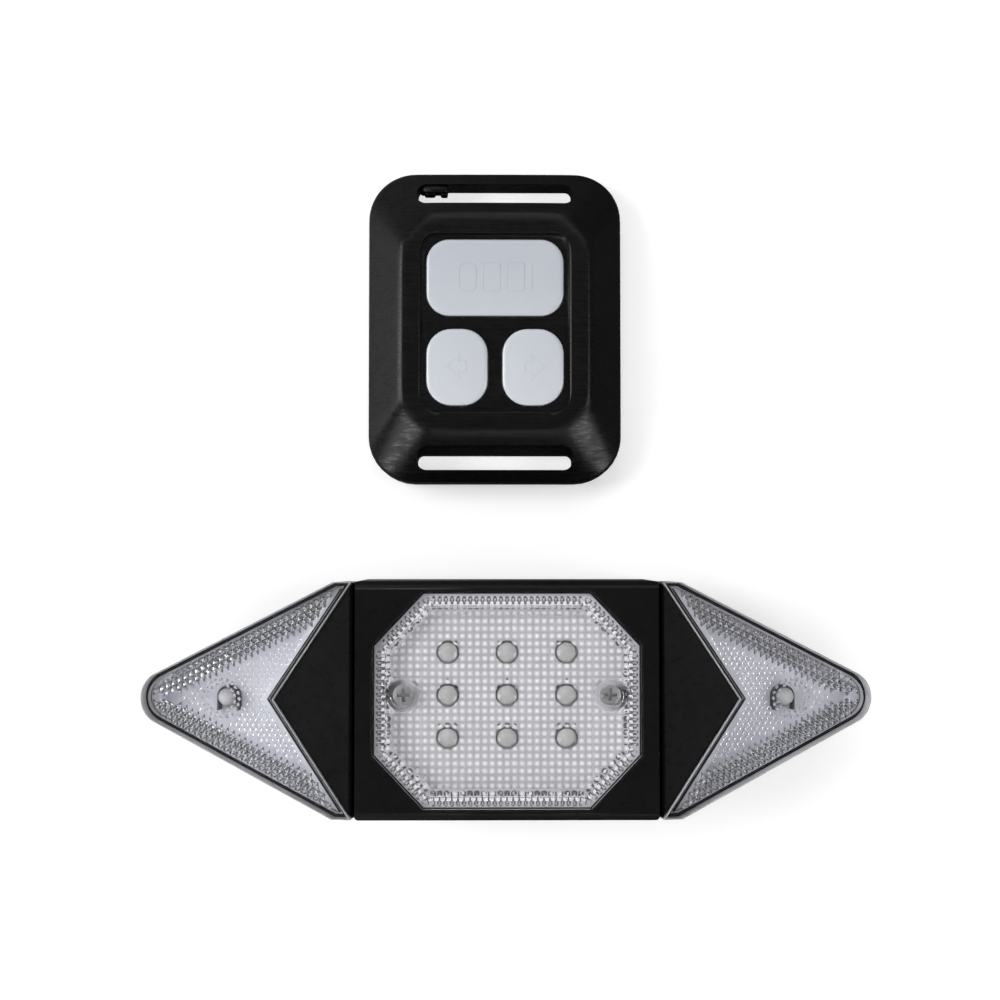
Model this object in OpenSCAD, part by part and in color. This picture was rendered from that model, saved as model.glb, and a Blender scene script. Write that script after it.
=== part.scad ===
/* [Set] */
// Free space between the lamp's top edge and the remote's bottom edge
set_gap = 17.5; // [8:0.5:60]
// Sideways offset of the remote from the lamp's middle
remote_shift = -2; // [-20:0.5:20]

/* [Lamp centre] */
// Width of the black centre, from wing crease to wing crease
lamp_w = 52; // [51:0.2:60]
// Height of the black centre
lamp_h = 40.8; // [40.2:0.2:48]
// Height of the rear tub above the back face
tub_d = 18; // [17.4:0.2:22]
// Height of the front bezel
bezel_d = 4; // [3.4:0.1:6]
// Side and top wall of the tub
tub_wall = 1.8; // [1.4:0.1:2.4]
// Bottom wall of the tub, with the charging port and the button
port_wall = 2.6; // [2.4:0.1:3.4]
// Floor of the tub
tub_floor = 1.4; // [1:0.1:2]
// Rounding of the tub's and bezel's upright edges
lamp_edge_r = 0.6; // [0.2:0.1:1.5]
// Chamfer along the bezel's upper and lower front edges
bezel_chamfer = 1; // [0.3:0.1:1.5]
// Depth and width of the gasket groove in the tub's rim
gasket_t = 0.7; // [0.4:0.1:1]

/* [Slide socket in the lamp's back] */
// Inside width of the T-shaped channel
socket_w = 20; // [14:0.5:22]
// Inside depth of the channel above its lips
socket_d = 4.4; // [4.2:0.1:4.8]
// Width of the mouth between the lips
socket_mouth = 14; // [8:0.5:16]
// Length of the channel from the lamp's bottom edge
socket_l = 30; // [20:0.5:33]
// Wall round the channel
socket_wall = 1.2; // [1:0.1:1.6]

/* [Centre lens] */
// Black margin left and right of the octagonal lens
lens_margin_x = 3.15; // [2:0.1:4]
// Black margin above and below the octagonal lens
lens_margin_y = 2.05; // [1.8:0.05:3.4]
// Corner cut of the octagon, along the width
lens_cut_x = 8.5; // [5:0.1:11]
// Corner cut of the octagon, along the height
lens_cut_y = 9; // [5:0.1:11]
// How far the lens stands out of the bezel
lens_proud = 1.6; // [1:0.1:3]
// How deep the lens sits in the bezel
lens_seat = 1.8; // [1.2:0.1:2.4]
// Height of the plain step over the bezel's face
lens_lift = 0.25; // [0.1:0.05:0.5]
// Thickness of the lens face and of its side wall
lens_t = 1.6; // [1.2:0.1:2]
// Width of the plain step round the lens
lens_step = 0.5; // [0.2:0.1:0.8]
// Width of the ribbed bevel
bevel_w = 2; // [1.4:0.1:3]
// Spacing of the ribs along the bevel
rib_pitch = 1.05; // [0.8:0.05:2]
// Height of the ribs
rib_h = 0.3; // [0.1:0.05:0.4]
// Width of the bezel's ledge under the lens
lens_ledge = 2; // [1.6:0.1:2.6]
// Distance of each lens screw from the lens's side
screw_in = 5.1; // [4:0.1:6]

/* [Wings] */
// Angle by which the wings sweep back
sweep = 10; // [0:1:16]
// Drop of the wing's crease below the bezel's face
crease_drop = 0.5; // [0.2:0.1:1.5]
// Step between the lamp's edge and the wing's edge
wing_inset = 0.2; // [0:0.1:1]
// Distance from crease to rounded tip
wing_l = 38.6; // [34:0.2:50]
// Radius of the wing's tip
tip_r = 4.6; // [3:0.1:7]
// Length of the wing's straight edge beside the crease
wing_corner_s = 3.9; // [1.6:0.1:8]
// Distance from crease to the notch of the clear dart
notch_l = 14.4; // [11:0.2:16]
// Thickness of the black wing tray
tray_d = 6; // [5.4:0.1:8]
// Height of the clear dart's side wall over the tray
dart_d = 3; // [2:0.1:4]
// How far the clear dart stands over the black deck
dart_proud = 0.6; // [0.2:0.1:1]
// Thickness of the dart's face
dart_t = 1.5; // [1:0.1:1.8]
// Thickness of the dart's side wall, seen as its clear rim
dart_rim = 1.1; // [0.8:0.1:1.5]
// Wall and floor of the wing tray
tray_wall = 1.6; // [1.3:0.1:2]
// Distance from crease to the turn-signal LED
wing_led_s = 24; // [21:0.2:27]

/* [Lights and boards] */
// Diameter of an LED's round body
led_dia = 3; // [2:0.1:3.2]
// Diameter of an LED's flange
led_flange = 3.6; // [3.4:0.1:4]
// Height of an LED from its board to the top of its dome
led_h = 4.3; // [3.6:0.1:4.8]
// Spacing of the centre LEDs across, as a share of the lens's width
led_spread_x = 0.2222; // [0.18:0.0001:0.24]
// Spacing of the centre LEDs up and down, as a share of the lens's height
led_spread_y = 0.1984; // [0.16:0.0001:0.24]
// How far the LEDs and the lens screws sit above the lens's middle
array_up = 0.9; // [0:0.1:1.5]
// Thickness of every circuit board
board_t = 1; // [0.8:0.1:1.2]
// Thickness of the reflector plates
reflector_t = 0.8; // [0.6:0.1:1]
// Height of the centre reflector's plate over the LED board
reflector_rise = 2.4; // [1.6:0.1:2.8]
// Depth of the centre reflector's plate below the lens's foot
reflector_sink = 1.6; // [1.2:0.1:2.2]
// Thickness of the reflectors' flanges under the lenses
reflector_rim = 0.5; // [0.4:0.1:0.7]
// Space between the pouch cell and the lens bosses at its sides
battery_side = 0.7; // [0.5:0.1:4]
// Space between the pouch cell and the tub's top wall
battery_end = 2; // [1:0.1:8]
// Thickness of the pouch cell
battery_t = 3.6; // [2.4:0.1:3.8]

/* [Charging port and power button] */
// Distance of the charging port from the middle, to the left
port_x = 8.5; // [7:0.1:10]
// Distance of the power button from the middle, to the right
button_x = 9; // [6:0.1:12]
// Diameter of the power button
button_dia = 4.8; // [3.6:0.1:5]
// Travel of the power button
button_travel = 0.8; // [0.4:0.1:0.9]
// Length of the rubber flap from its hinge
flap_l = 12.5; // [11.5:0.1:14]
// Height of the rubber flap
flap_h = 5.6; // [4.8:0.1:6.4]
// Thickness of the rubber flap
flap_t = 1.1; // [0.9:0.05:1.2]

/* [Remote] */
// Width of the remote
remote_w = 46.3; // [45:0.1:56]
// Length of the remote
remote_l = 57.1; // [57:0.1:68]
// Height of the remote to its raised plateau
remote_h = 12.2; // [12.2:0.1:14]
// Corner radius of the remote's outline
remote_r = 8.6; // [6:0.1:12]
// Height of the bottom shell
base_d = 4; // [3.6:0.1:4.6]
// Upright band of the top shell above the parting line
shell_band = 1; // [0.6:0.1:2]
// Width of the plateau
plateau_w = 33.9; // [33:0.1:36]
// Length of the plateau
plateau_l = 39.1; // [38:0.1:40]
// Corner cut of the plateau
plateau_cut = 4.2; // [2:0.1:6]
// Wall of both shells
shell_wall = 1.5; // [1.2:0.1:1.8]
// Floor of the bottom shell
base_floor = 1.6; // [1.4:0.1:2]
// Length of the strap slots
strap_slot_l = 28.4; // [26:0.1:30]
// Width of the strap slots in the top shell
strap_slot_w = 4.2; // [4.1:0.1:4.6]
// Width of the strap slots in the bottom shell
strap_slot_base_w = 2.9; // [2:0.1:3.4]
// Bar left between a slot and the remote's end
strap_bar = 2.4; // [2:0.1:4]

/* [Keys] */
// Width of the wide mode key
mode_w = 24.8; // [22:0.1:25]
// Height of every key
key_h = 14; // [10:0.1:14.2]
// Space between the two arrow keys
key_gap_x = 2.4; // [2:0.1:4]
// Space between the two rows of keys
key_gap_y = 2.1; // [2:0.1:3]
// Corner radius of the mode key
mode_r = 4.2; // [2:0.1:5]
// Corner radius of the arrow keys
arrow_r = 4.6; // [2:0.1:5]
// Travel of every key
key_travel = 0.8; // [0.4:0.1:0.9]
// Height of the keys over the key field
key_proud = 0.9; // [0.5:0.1:1.4]
// Depth of the key field below the plateau
field_d = 0.7; // [0.4:0.1:0.9]
// Space round the keys inside the key field
field_margin = 1; // [0.8:0.1:1.4]
// Corner radius of the key field
field_r = 2.8; // [1:0.1:4]

/* [Coin cell] */
// Diameter of the coin cell
cell_dia = 20; // [16:0.5:20]
// Thickness of the coin cell
cell_t = 3.2; // [2:0.1:3.2]
// Diameter of the door under the coin cell
door_dia = 24; // [22.5:0.1:25]
// Angle by which the door turns to come free
door_turn = 45; // [40:1:60]

/* [Fits] */
// Clearance round pieces that slide or turn in a hole
run_fit = 0.08; // [0.04:0.01:0.1]
// Clearance round pieces that are laid in a pocket
lay_fit = 0.15; // [0.1:0.01:0.25]
// Clearance over flanges and plungers
end_fit = 0.2; // [0.12:0.01:0.3]

/* [Hidden] */
$fn = 48;
hull_fn = 32;
eps = 0.01;

black = [0.11, 0.11, 0.12];
deck_black = [0.14, 0.14, 0.15];
clear = [0.85, 0.86, 0.9, 0.5];
pale = [0.86, 0.86, 0.9];
key_grey = [0.78, 0.8, 0.84];
board_green = [0.07, 0.3, 0.16];
steel = [0.7, 0.71, 0.73];
rubber = [0.06, 0.06, 0.06];

// How far a cut reaches past the face it opens
over = 1;

set_l = lamp_h + set_gap + remote_l;
lamp_y = -set_l / 2 + lamp_h / 2;
remote_y = set_l / 2 - remote_l / 2;

lamp_face = tub_d + bezel_d;
lens_top = lamp_face + lens_proud;
lens_bottom = lamp_face - lens_seat;
back_y = -lamp_h / 2;
inner_y = back_y + port_wall;

lens_w = lamp_w - 2 * lens_margin_x;
lens_h = lamp_h - 2 * lens_margin_y;
screw_x = lens_w / 2 - screw_in;
led_pitch_x = lens_w * led_spread_x;
led_pitch_y = lens_h * led_spread_y;

socket_roof = tub_floor + socket_d + socket_wall;
reflector_z = lens_bottom - reflector_sink - reflector_t;
led_board_top = reflector_z - reflector_rise;
led_board_z = led_board_top - board_t;
control_top = socket_roof + board_t;
control_l = 10.4;

screw_r = 1;
screw_l = 6;
screw_head_r = 1.9;
screw_head_h = 1.4;
lens_head_r = 1.8;
pilot_l = 7;
cross_l = 2.2;
cross_w = 0.5;
well_r = 2.05;
well_wall = 0.7;
boss_r = 2.3;
battery_gap = 1;
battery_w = 2 * (screw_x - boss_r - battery_side);
battery_l = lamp_h - tub_wall - port_wall - control_l - battery_gap - battery_end;
control_w = battery_w;
pass_r = well_r + well_wall + lay_fit;
boss_top = reflector_z;
seat_top = reflector_z + reflector_t;
well_floor = seat_top + well_wall;

lens_span_w = lens_w - 2 * lens_ledge;
lens_span_h = lens_h - 2 * lens_ledge;

port_w = 8;
port_h = 3;
port_sink = 0.2;
port_z = control_top + port_h / 2 - port_sink;
usb_w = 7.4;
usb_h = 2.6;
usb_l = 5.4;
hinge_r = 0.55;
hinge_in = 0.9;
hinge_x = -port_x - flap_l / 2;
pin_l = 0.9;
flap_nub = 0.5;
flap_pocket = hinge_in + flap_t / 2 + lay_fit;

button_rise = 1.3;
button_z = control_top + button_rise;
button_lip = 0.8;
button_ear = button_dia / 2 + button_lip;
button_ear_h = 3.4;
button_flange_t = 0.7;
plunger_r = 0.8;
plunger_in = 1.2;
switch_w = 6;
switch_h = 2.6;
switch_y = inner_y + end_fit + button_flange_t + button_travel + end_fit;
switch_l = 3.4;

crease_x = lamp_w / 2;
crease_z = lamp_face - crease_drop;
root_half = lamp_h / 2 - wing_inset;
tip_s = wing_l - tip_r;
wing_run = tip_s - wing_corner_s;
wing_a = atan2(root_half, wing_run) - asin(tip_r / norm([root_half, wing_run]));
wing_slope = tan(wing_a);
apex_s = tip_s + tip_r / sin(wing_a);
tip_kink = 4;
deck_gap = 0.12;
groove = (deck_gap + dart_d * sin(sweep)) / cos(sweep);
notch_a = atan(root_half / (notch_l - groove));
tray_floor = 1.2;
tray_lip = 0.35;
tray_top = -dart_d;
tray_bottom = tray_top - tray_d;
pocket_floor = tray_bottom + tray_floor;
deck_t = 1.8;
deck_bevel = 0.35;
lead_hole_r = 0.8;
lead_run = 8;
lead_way_h = 3;

base_hole_r = door_dia / 2 + run_fit;
field_z = remote_h - field_d;
roof_t = 1.4;
roof_z = field_z - roof_t;
flange_t = 0.9;
flange_w = 0.75;
flange_z = roof_z - end_fit - flange_t;
key_top = field_z + key_proud;
cell_z = base_floor + lay_fit;
contact_t = 0.35;
contact_z = cell_z + cell_t;
remote_board_z = contact_z + contact_t;
remote_board_top = remote_board_z + board_t;
key_switch_h = flange_z - key_travel - end_fit - remote_board_top;
key_plunger_r = 1.2;
key_plunger_in = key_travel + end_fit;
key_switch_w = 5.2;
arrow_w = (mode_w - key_gap_x) / 2;
key_row = (key_h + key_gap_y) / 2;
arrow_x = (arrow_w + key_gap_x) / 2;
slot_y = remote_l / 2 - strap_bar - strap_slot_w / 2;
slot_base_y = remote_l / 2 - strap_bar - strap_slot_base_w / 2;
cavity_l = 2 * (slot_y - strap_slot_w / 2 - shell_wall);
base_screw_in = 3.1;
base_screw_x = remote_w / 2 - shell_wall - base_screw_in;
base_screw_y = cavity_l / 2 - base_screw_in;
base_boss_r = 2.5;
base_head_h = 1;
base_screw_l = 4.2;
base_screw_tip = 0.5;
snap_x = 8.9;
snap_w = 1.8;
snap_h = 1.6;
snap_d = 0.8;
remote_board_w = 32;
board_play = 1;
remote_board_l = cavity_l - 2 * board_play;
board_notch = 6.4;

// Places a piece in the lamp's own frame
module at_lamp() {
    translate([0, lamp_y, 0]) children();
}

// Places a piece in the remote's own frame
module at_remote() {
    translate([remote_shift, remote_y, 0]) children();
}

// Places a wing piece: x runs along the wing, y up the lamp and z out of its face
module at_wing(side) {
    at_lamp()
        mirror([side < 0 ? 1 : 0, 0, 0])
            translate([crease_x, 0, crease_z])
                rotate([0, sweep, 0]) children();
}

// A rectangle with round corners
module rounded(w, h, r) {
    square([w - 2 * r, h], center = true);
    square([w, h - 2 * r], center = true);
    for (x = [-1, 1], y = [-1, 1])
        translate([x * (w / 2 - r), y * (h / 2 - r)]) circle(r);
}

// A block with round upright edges, from z = low to z = high
module block(w, h, r, low, high) {
    translate([0, 0, low])
        linear_extrude(high - low) rounded(w, h, r);
}

// The eight corners of the lens outline moved inwards by d, counter-clockwise
function octagon(d) =
    let (
        w = lens_w / 2,
        h = lens_h / 2,
        len_cut = norm([lens_cut_x, lens_cut_y]),
        c = lens_cut_y * (w - lens_cut_x) + lens_cut_x * h - d * len_cut,
        x = (c - lens_cut_x * (h - d)) / lens_cut_y,
        y = (c - lens_cut_y * (w - d)) / lens_cut_x
    )
    [[w - d, -y], [w - d, y], [x, h - d], [-x, h - d],
     [-w + d, y], [-w + d, -y], [-x, -h + d], [x, -h + d]];

// The bevelled front of the lens: straight up to the step, then sloping in to the face
module lens_bevel(step_z, bevel_in) {
    rings = [[lens_step, lens_bottom], [lens_step, step_z], [bevel_in, lens_top]];
    last = len(rings) - 1;
    sides = [for (r = [0:last - 1], i = [0:7])
        [8 * r + i, 8 * r + 8 + i, 8 * r + 8 + (i + 1) % 8, 8 * r + (i + 1) % 8]];
    floor_cap = [[for (i = [0:7]) i]];
    top_cap = [[for (i = [7:-1:0]) 8 * last + i]];
    polyhedron(
        [for (ring = rings, p = octagon(ring[0])) [p[0], p[1], ring[1]]],
        concat(sides, floor_cap, top_cap)
    );
}

// V grooves square to every side of the bevel, which leave the ribs between them
module rib_grooves(step_z, bevel_in) {
    run = bevel_in - lens_step;
    rise = lens_top - step_z;
    slope_l = norm([run, rise]);
    half = rib_pitch * 0.42;
    corners = octagon(lens_step);
    for (e = [0:7]) {
        a = corners[e];
        side = corners[(e + 1) % 8] - a;
        count = round(norm(side) / rib_pitch);
        for (i = [0:count - 1])
            translate(concat(a + side * (i + 0.5) / count, [step_z]))
                rotate([0, 0, atan2(side[1], side[0])])
                    rotate([atan2(rise, run), 0, 0])
                        translate([0, rib_h, 0])
                            rotate([-90, 0, 0])
                                linear_extrude(slope_l - 2 * rib_h)
                                    polygon([[-half, -rib_h / 4], [half, -rib_h / 4], [0, rib_h]]);
    }
}

// A prism of the lens outline, moved inwards by d
module lens_prism(d, low, high) {
    translate([0, 0, low])
        linear_extrude(high - low) polygon(octagon(d));
}

// Puts its children at both lens screws
module at_screws() {
    for (x = [-screw_x, screw_x])
        translate([x, array_up, 0]) children();
}

// Puts its children at the nine centre LEDs
module at_leds() {
    for (i = [-1:1], j = [-1:1])
        translate([i * led_pitch_x, j * led_pitch_y + array_up, 0]) children();
}

// An LED with its flange and domed body, standing on z = 0
module led() {
    flange_h = 0.9;
    cylinder(d = led_flange, h = flange_h);
    cylinder(d = led_dia, h = led_h - led_dia / 2);
    translate([0, 0, led_h - led_dia / 2]) sphere(d = led_dia);
}

// Outline of the whole wing, moved inwards by d: a kite whose point is cut back to a round tip
module wing_shape(d) {
    r = tip_r - d;
    half = root_half - d;
    apex = apex_s - d / sin(wing_a);
    corner = apex - half / wing_slope;
    round_s = tip_s + r * sin(wing_a);
    arc_r = r * cos(wing_a) / cos(wing_a + tip_kink);
    cut_s = round_s - arc_r * (sin(wing_a + tip_kink) - sin(wing_a));
    difference() {
        polygon([
            [groove, half], [corner, half], [apex, 0],
            [corner, -half], [groove, -half]
        ]);
        difference() {
            translate([cut_s, -tip_r]) square(2 * tip_r + apex - cut_s);
            translate([round_s - arc_r * sin(wing_a + tip_kink), 0]) circle(arc_r);
        }
    }
}

// The triangle between crease and notch, with its notch moved outwards by d, from s = start
module notch_triangle(d, start) {
    notch = notch_l + d / sin(notch_a);
    half = (notch - start) * tan(notch_a);
    polygon([[start, half], [notch, 0], [start, -half]]);
}

// Outline of the clear dart, moved inwards by d
module dart(d) {
    difference() {
        wing_shape(d);
        notch_triangle(d, -notch_l);
    }
}

// A prism of the dart outline in the wing's frame
module dart_prism(d, low, high) {
    translate([0, 0, low])
        linear_extrude(high - low) dart(d);
}

// The black half of a wing: tray, triangular deck and the way for the leads
module wing_tray() {
    difference() {
        union() {
            translate([0, 0, tray_bottom])
                linear_extrude(tray_d) wing_shape(0);
            translate([0, 0, tray_top - eps])
                linear_extrude(dart_d + eps) notch_triangle(-deck_gap, groove);
            translate([-tub_wall, -root_half, tray_bottom])
                cube([tub_wall + over, 2 * root_half, tray_d]);
        }
        dart_prism(tray_wall, pocket_floor, dart_proud);
        dart_prism(tray_lip, tray_top - reflector_rim, dart_proud);
        translate([0, 0, pocket_floor])
            linear_extrude(-deck_t - pocket_floor)
                notch_triangle(-tray_wall - deck_gap, groove + tray_wall);
        translate([notch_l - lead_run / 2, 0, pocket_floor + 2 * lead_hole_r])
            rotate([0, 90, 0]) cylinder(r = lead_hole_r, h = lead_run);
        translate([groove, 0, 0])
            rotate([0, 45, 0])
                cube([deck_bevel * 2, 3 * root_half, deck_bevel * 2], center = true);
    }
}

// The tub's outside and inside, with the socket in its back and the lens bosses
module tub() {
    inner_w = lamp_w - 2 * tub_wall;
    inner_l = lamp_h - tub_wall - port_wall;
    lap = port_wall / 2;
    difference() {
        union() {
            difference() {
                block(lamp_w, lamp_h, lamp_edge_r, 0, tub_d);
                translate([-inner_w / 2, inner_y, tub_floor])
                    cube([inner_w, inner_l, tub_d]);
            }
            translate([-socket_w / 2 - socket_wall, back_y + lap, 0])
                cube([socket_w + 2 * socket_wall, socket_l + socket_wall - lap, socket_roof]);
            at_screws()
                translate([0, 0, tub_floor - eps])
                    cylinder(r = boss_r, h = boss_top - tub_floor + eps);
            led_posts();
        }
        translate([-socket_w / 2, back_y - over, tub_floor])
            cube([socket_w, socket_l + over, socket_d]);
        translate([-socket_mouth / 2, back_y - over, -over])
            cube([socket_mouth, socket_l + over, tub_floor + 2 * over]);
        at_screws()
            translate([0, 0, boss_top - pilot_l]) cylinder(r = screw_r, h = pilot_l + over);
        port_cuts();
    }
}

// Four posts that carry the LED board
module led_posts() {
    post = 2.4;
    edge = 0.6;
    x = lens_span_w / 2 - post / 2 - edge;
    for (i = [-1, 1], j = [-1, 1])
        translate([i * x, j * (lens_span_h / 2 - lens_cut_y), tub_floor - eps])
            translate([-post / 2, -post / 2, 0])
                cube([post, post, led_board_z - tub_floor + eps]);
}

// The gasket's ring in the middle of the tub's rim
module gasket_ring() {
    w = lamp_w - tub_wall;
    l = lamp_h - tub_wall;
    difference() {
        block(w + gasket_t, l + gasket_t, lamp_edge_r, tub_d - gasket_t, tub_d);
        block(w - gasket_t, l - gasket_t, lamp_edge_r, tub_d - 2 * gasket_t, tub_d + over);
    }
}

// Openings in the bottom wall: port, flap pocket with its hinge holes, and button hole
module port_cuts() {
    translate([-port_x, back_y, port_z]) {
        translate([-port_w / 2, -over, -port_h / 2])
            cube([port_w, port_wall + 2 * over, port_h]);
        translate([-flap_l / 2, -over, -flap_h / 2 - lay_fit])
            cube([flap_l + lay_fit, over + flap_pocket, flap_h + 2 * lay_fit]);
    }
    translate([hinge_x, back_y + hinge_in, port_z]) {
        cylinder(r = hinge_r + lay_fit, h = flap_h + 2 * lay_fit, center = true);
        translate([-hinge_r - lay_fit, -hinge_in - over, -flap_h / 2 - lay_fit])
            cube([2 * hinge_r, hinge_in + over, flap_h + 2 * lay_fit]);
        cylinder(r = hinge_r + run_fit, h = flap_h + 2 * pin_l + 2 * lay_fit, center = true);
    }
    translate([button_x, back_y - over, button_z])
        rotate([-90, 0, 0]) cylinder(d = button_dia + 2 * run_fit, h = port_wall + 2 * over);
}

module rear_housing() {
    color(deck_black)
        difference() {
            union() {
                at_lamp() difference() {
                    tub();
                    for (side = [0, 1])
                        mirror([side, 0, 0])
                            translate([crease_x, 0, crease_z])
                                rotate([0, sweep, 0])
                                    translate([-lead_run / 2, -lead_run / 2, pocket_floor])
                                        cube([lead_run, lead_run, lead_way_h]);
                }
                at_wing(1) wing_tray();
                at_wing(-1) wing_tray();
            }
            at_lamp() gasket_ring();
            at_lamp() translate([0, 0, tub_d])
                linear_extrude(lamp_face) square([lamp_w + 2 * deck_gap, 2 * lamp_h], center = true);
            at_lamp() translate([-crease_x + tub_wall, inner_y, tub_d - tray_d])
                cube([lamp_w - 2 * tub_wall, lamp_h - tub_wall - port_wall, tray_d + bezel_d]);
        }
}

module front_bezel() {
    half = lamp_h / 2;
    profile = [
        [-half, tub_d], [half, tub_d], [half, lamp_face - bezel_chamfer],
        [half - bezel_chamfer, lamp_face], [-half + bezel_chamfer, lamp_face],
        [-half, lamp_face - bezel_chamfer]
    ];
    color(black) at_lamp()
        difference() {
            intersection() {
                block(lamp_w, lamp_h, lamp_edge_r, tub_d, lamp_face);
                translate([-lamp_w, 0, 0])
                    rotate([90, 0, 90])
                        linear_extrude(2 * lamp_w) polygon(profile);
            }
            lens_prism(-lay_fit, lens_bottom - reflector_rim, lamp_face + over);
            lens_prism(lens_ledge, tub_d - over, lamp_face);
            at_screws()
                translate([0, 0, tub_d - over])
                    cylinder(r = pass_r, h = bezel_d);
        }
}

module bezel_gasket() {
    color(rubber) at_lamp() gasket_ring();
}

module center_lens() {
    step_z = lamp_face + lens_lift;
    bevel_in = lens_step + bevel_w;
    color(clear) at_lamp()
        difference() {
            union() {
                difference() {
                    union() {
                        lens_prism(0, lens_bottom, step_z);
                        lens_bevel(step_z, bevel_in);
                    }
                    lens_prism(lens_t, lens_bottom - over, lens_top - lens_t);
                }
                at_screws()
                    translate([0, 0, seat_top])
                        cylinder(r = well_r + well_wall, h = lens_top - lens_t / 2 - seat_top);
            }
            at_screws() {
                translate([0, 0, well_floor]) cylinder(r = well_r, h = lens_top);
                translate([0, 0, seat_top - over])
                    cylinder(r = screw_r + run_fit, h = well_wall + 2 * over);
            }
            rib_grooves(step_z, bevel_in);
        }
}

module lens_screws() {
    recess = 0.7;
    color(steel) at_lamp() at_screws()
        difference() {
            union() {
                translate([0, 0, well_floor]) cylinder(r = lens_head_r, h = screw_head_h);
                translate([0, 0, boss_top - screw_l])
                    cylinder(r = screw_r, h = screw_l + well_floor - boss_top + eps);
            }
            for (turn = [0, 90])
                translate([0, 0, well_floor + screw_head_h])
                    rotate([0, 0, turn]) cube([cross_l, cross_w, 2 * recess], center = true);
        }
}

module center_reflector() {
    gap = 0.5;
    edge = lens_ledge + gap;
    color(pale) at_lamp()
        difference() {
            union() {
                lens_prism(edge, led_board_top, lens_bottom - eps);
                lens_prism(lay_fit, lens_bottom - reflector_rim, lens_bottom);
            }
            lens_prism(edge + reflector_t, led_board_top - over, reflector_z);
            lens_prism(edge + reflector_t, reflector_z + reflector_t, lens_bottom + over);
            at_leds() cylinder(d = led_flange + 2 * lay_fit, h = lamp_face);
            at_screws() {
                cylinder(r = pass_r, h = boss_top);
                cylinder(r = screw_r + run_fit, h = lamp_face);
                translate([0, 0, seat_top]) cylinder(r = pass_r, h = lamp_face);
            }
        }
}

module center_leds() {
    color([0.9, 0.9, 0.88, 0.8]) at_lamp() at_leds()
        translate([0, 0, led_board_top]) led();
}

module center_led_board() {
    gap = 0.4;
    color(board_green) at_lamp()
        difference() {
            lens_prism(lens_ledge + gap, led_board_z, led_board_top);
            at_screws() cylinder(r = pass_r, h = lamp_face);
        }
}

module control_board() {
    notch_w = 2 * button_ear + over;
    color(board_green) at_lamp()
        difference() {
            translate([-control_w / 2, inner_y + lay_fit, socket_roof])
                cube([control_w, control_l, board_t]);
            translate([button_x - notch_w / 2, inner_y - over, socket_roof - over])
                cube([notch_w, over + switch_y - inner_y, board_t + 2 * over]);
        }
}

module battery_cell() {
    fold = 0.6;
    corner = 2;
    y = inner_y + control_l + battery_gap;
    color([0.75, 0.77, 0.8]) at_lamp() {
        translate([0, y + battery_l / 2, socket_roof])
            block(battery_w, battery_l, corner, 0, battery_t);
        translate([-battery_w / 2 + corner, y - fold, socket_roof])
            cube([battery_w - 2 * corner, 2 * fold, battery_t / 2]);
    }
}

module usb_socket() {
    wall = 0.35;
    color(steel) at_lamp()
        translate([-port_x, inner_y + lay_fit, control_top])
            difference() {
                translate([-usb_w / 2, 0, 0]) cube([usb_w, usb_l, usb_h]);
                translate([-usb_w / 2 + wall, -over, wall])
                    cube([usb_w - 2 * wall, usb_l, usb_h - 2 * wall]);
            }
}

module usb_port_flap() {
    nub_side = 0.6;
    nub_end = 0.4;
    nub_w = port_w - 2 * nub_side;
    nub_h = port_h - 2 * nub_end;
    color(rubber) at_lamp()
        translate([hinge_x, back_y + hinge_in, port_z]) {
            cylinder(r = hinge_r, h = flap_h + 2 * pin_l, center = true);
            translate([0, -flap_t / 2, -flap_h / 2])
                cube([flap_l - lay_fit, flap_t, flap_h]);
            translate([flap_l / 2 - nub_w / 2, flap_t / 2 - eps, -nub_h / 2])
                cube([nub_w, flap_nub, nub_h]);
        }
}

module power_switch() {
    color([0.2, 0.2, 0.22]) at_lamp()
        difference() {
            translate([button_x - switch_w / 2, switch_y, control_top])
                cube([switch_w, switch_l, switch_h]);
            translate([button_x, switch_y - over, button_z])
                rotate([-90, 0, 0])
                    cylinder(r = plunger_r + run_fit, h = over + plunger_in + button_travel);
        }
}

module power_switch_plunger() {
    start = inner_y + end_fit + button_flange_t;
    color(key_grey) at_lamp()
        translate([button_x, start, button_z])
            rotate([-90, 0, 0])
                cylinder(r = plunger_r, h = switch_y + plunger_in - end_fit - start);
}

module power_button() {
    soft = 0.4;
    sunk = 0.1;
    color(rubber) at_lamp()
        translate([button_x, back_y, button_z]) {
            rotate([-90, 0, 0])
                rotate_extrude() polygon([
                    [0, sunk], [button_dia / 2 - soft, sunk], [button_dia / 2, sunk + soft],
                    [button_dia / 2, port_wall + end_fit], [0, port_wall + end_fit]
                ]);
            translate([-button_ear, port_wall + end_fit, -button_ear_h / 2])
                cube([2 * button_ear, button_flange_t, button_ear_h]);
        }
}

module wing_lens(side) {
    color(clear) at_wing(side)
        difference() {
            dart_prism(0, tray_top, dart_proud);
            dart_prism(dart_rim, tray_top - over, dart_proud - dart_t);
        }
}

module wing_reflector(side) {
    edge = tray_wall + lay_fit;
    low = pocket_floor + board_t;
    color(pale) at_wing(side)
        difference() {
            union() {
                dart_prism(edge, low, tray_top - eps);
                dart_prism(tray_lip + lay_fit, tray_top - reflector_rim, tray_top);
            }
            dart_prism(edge + reflector_t, low + reflector_t, dart_proud);
            translate([wing_led_s, 0, low - over])
                cylinder(d = led_flange + 2 * lay_fit, h = reflector_t + 2 * over);
        }
}

module wing_led(side) {
    color([0.9, 0.9, 0.88, 0.8]) at_wing(side)
        translate([wing_led_s, 0, pocket_floor + board_t]) led();
}

module wing_board(side) {
    color(board_green) at_wing(side)
        dart_prism(tray_wall + lay_fit, pocket_floor, pocket_floor + board_t);
}

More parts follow.
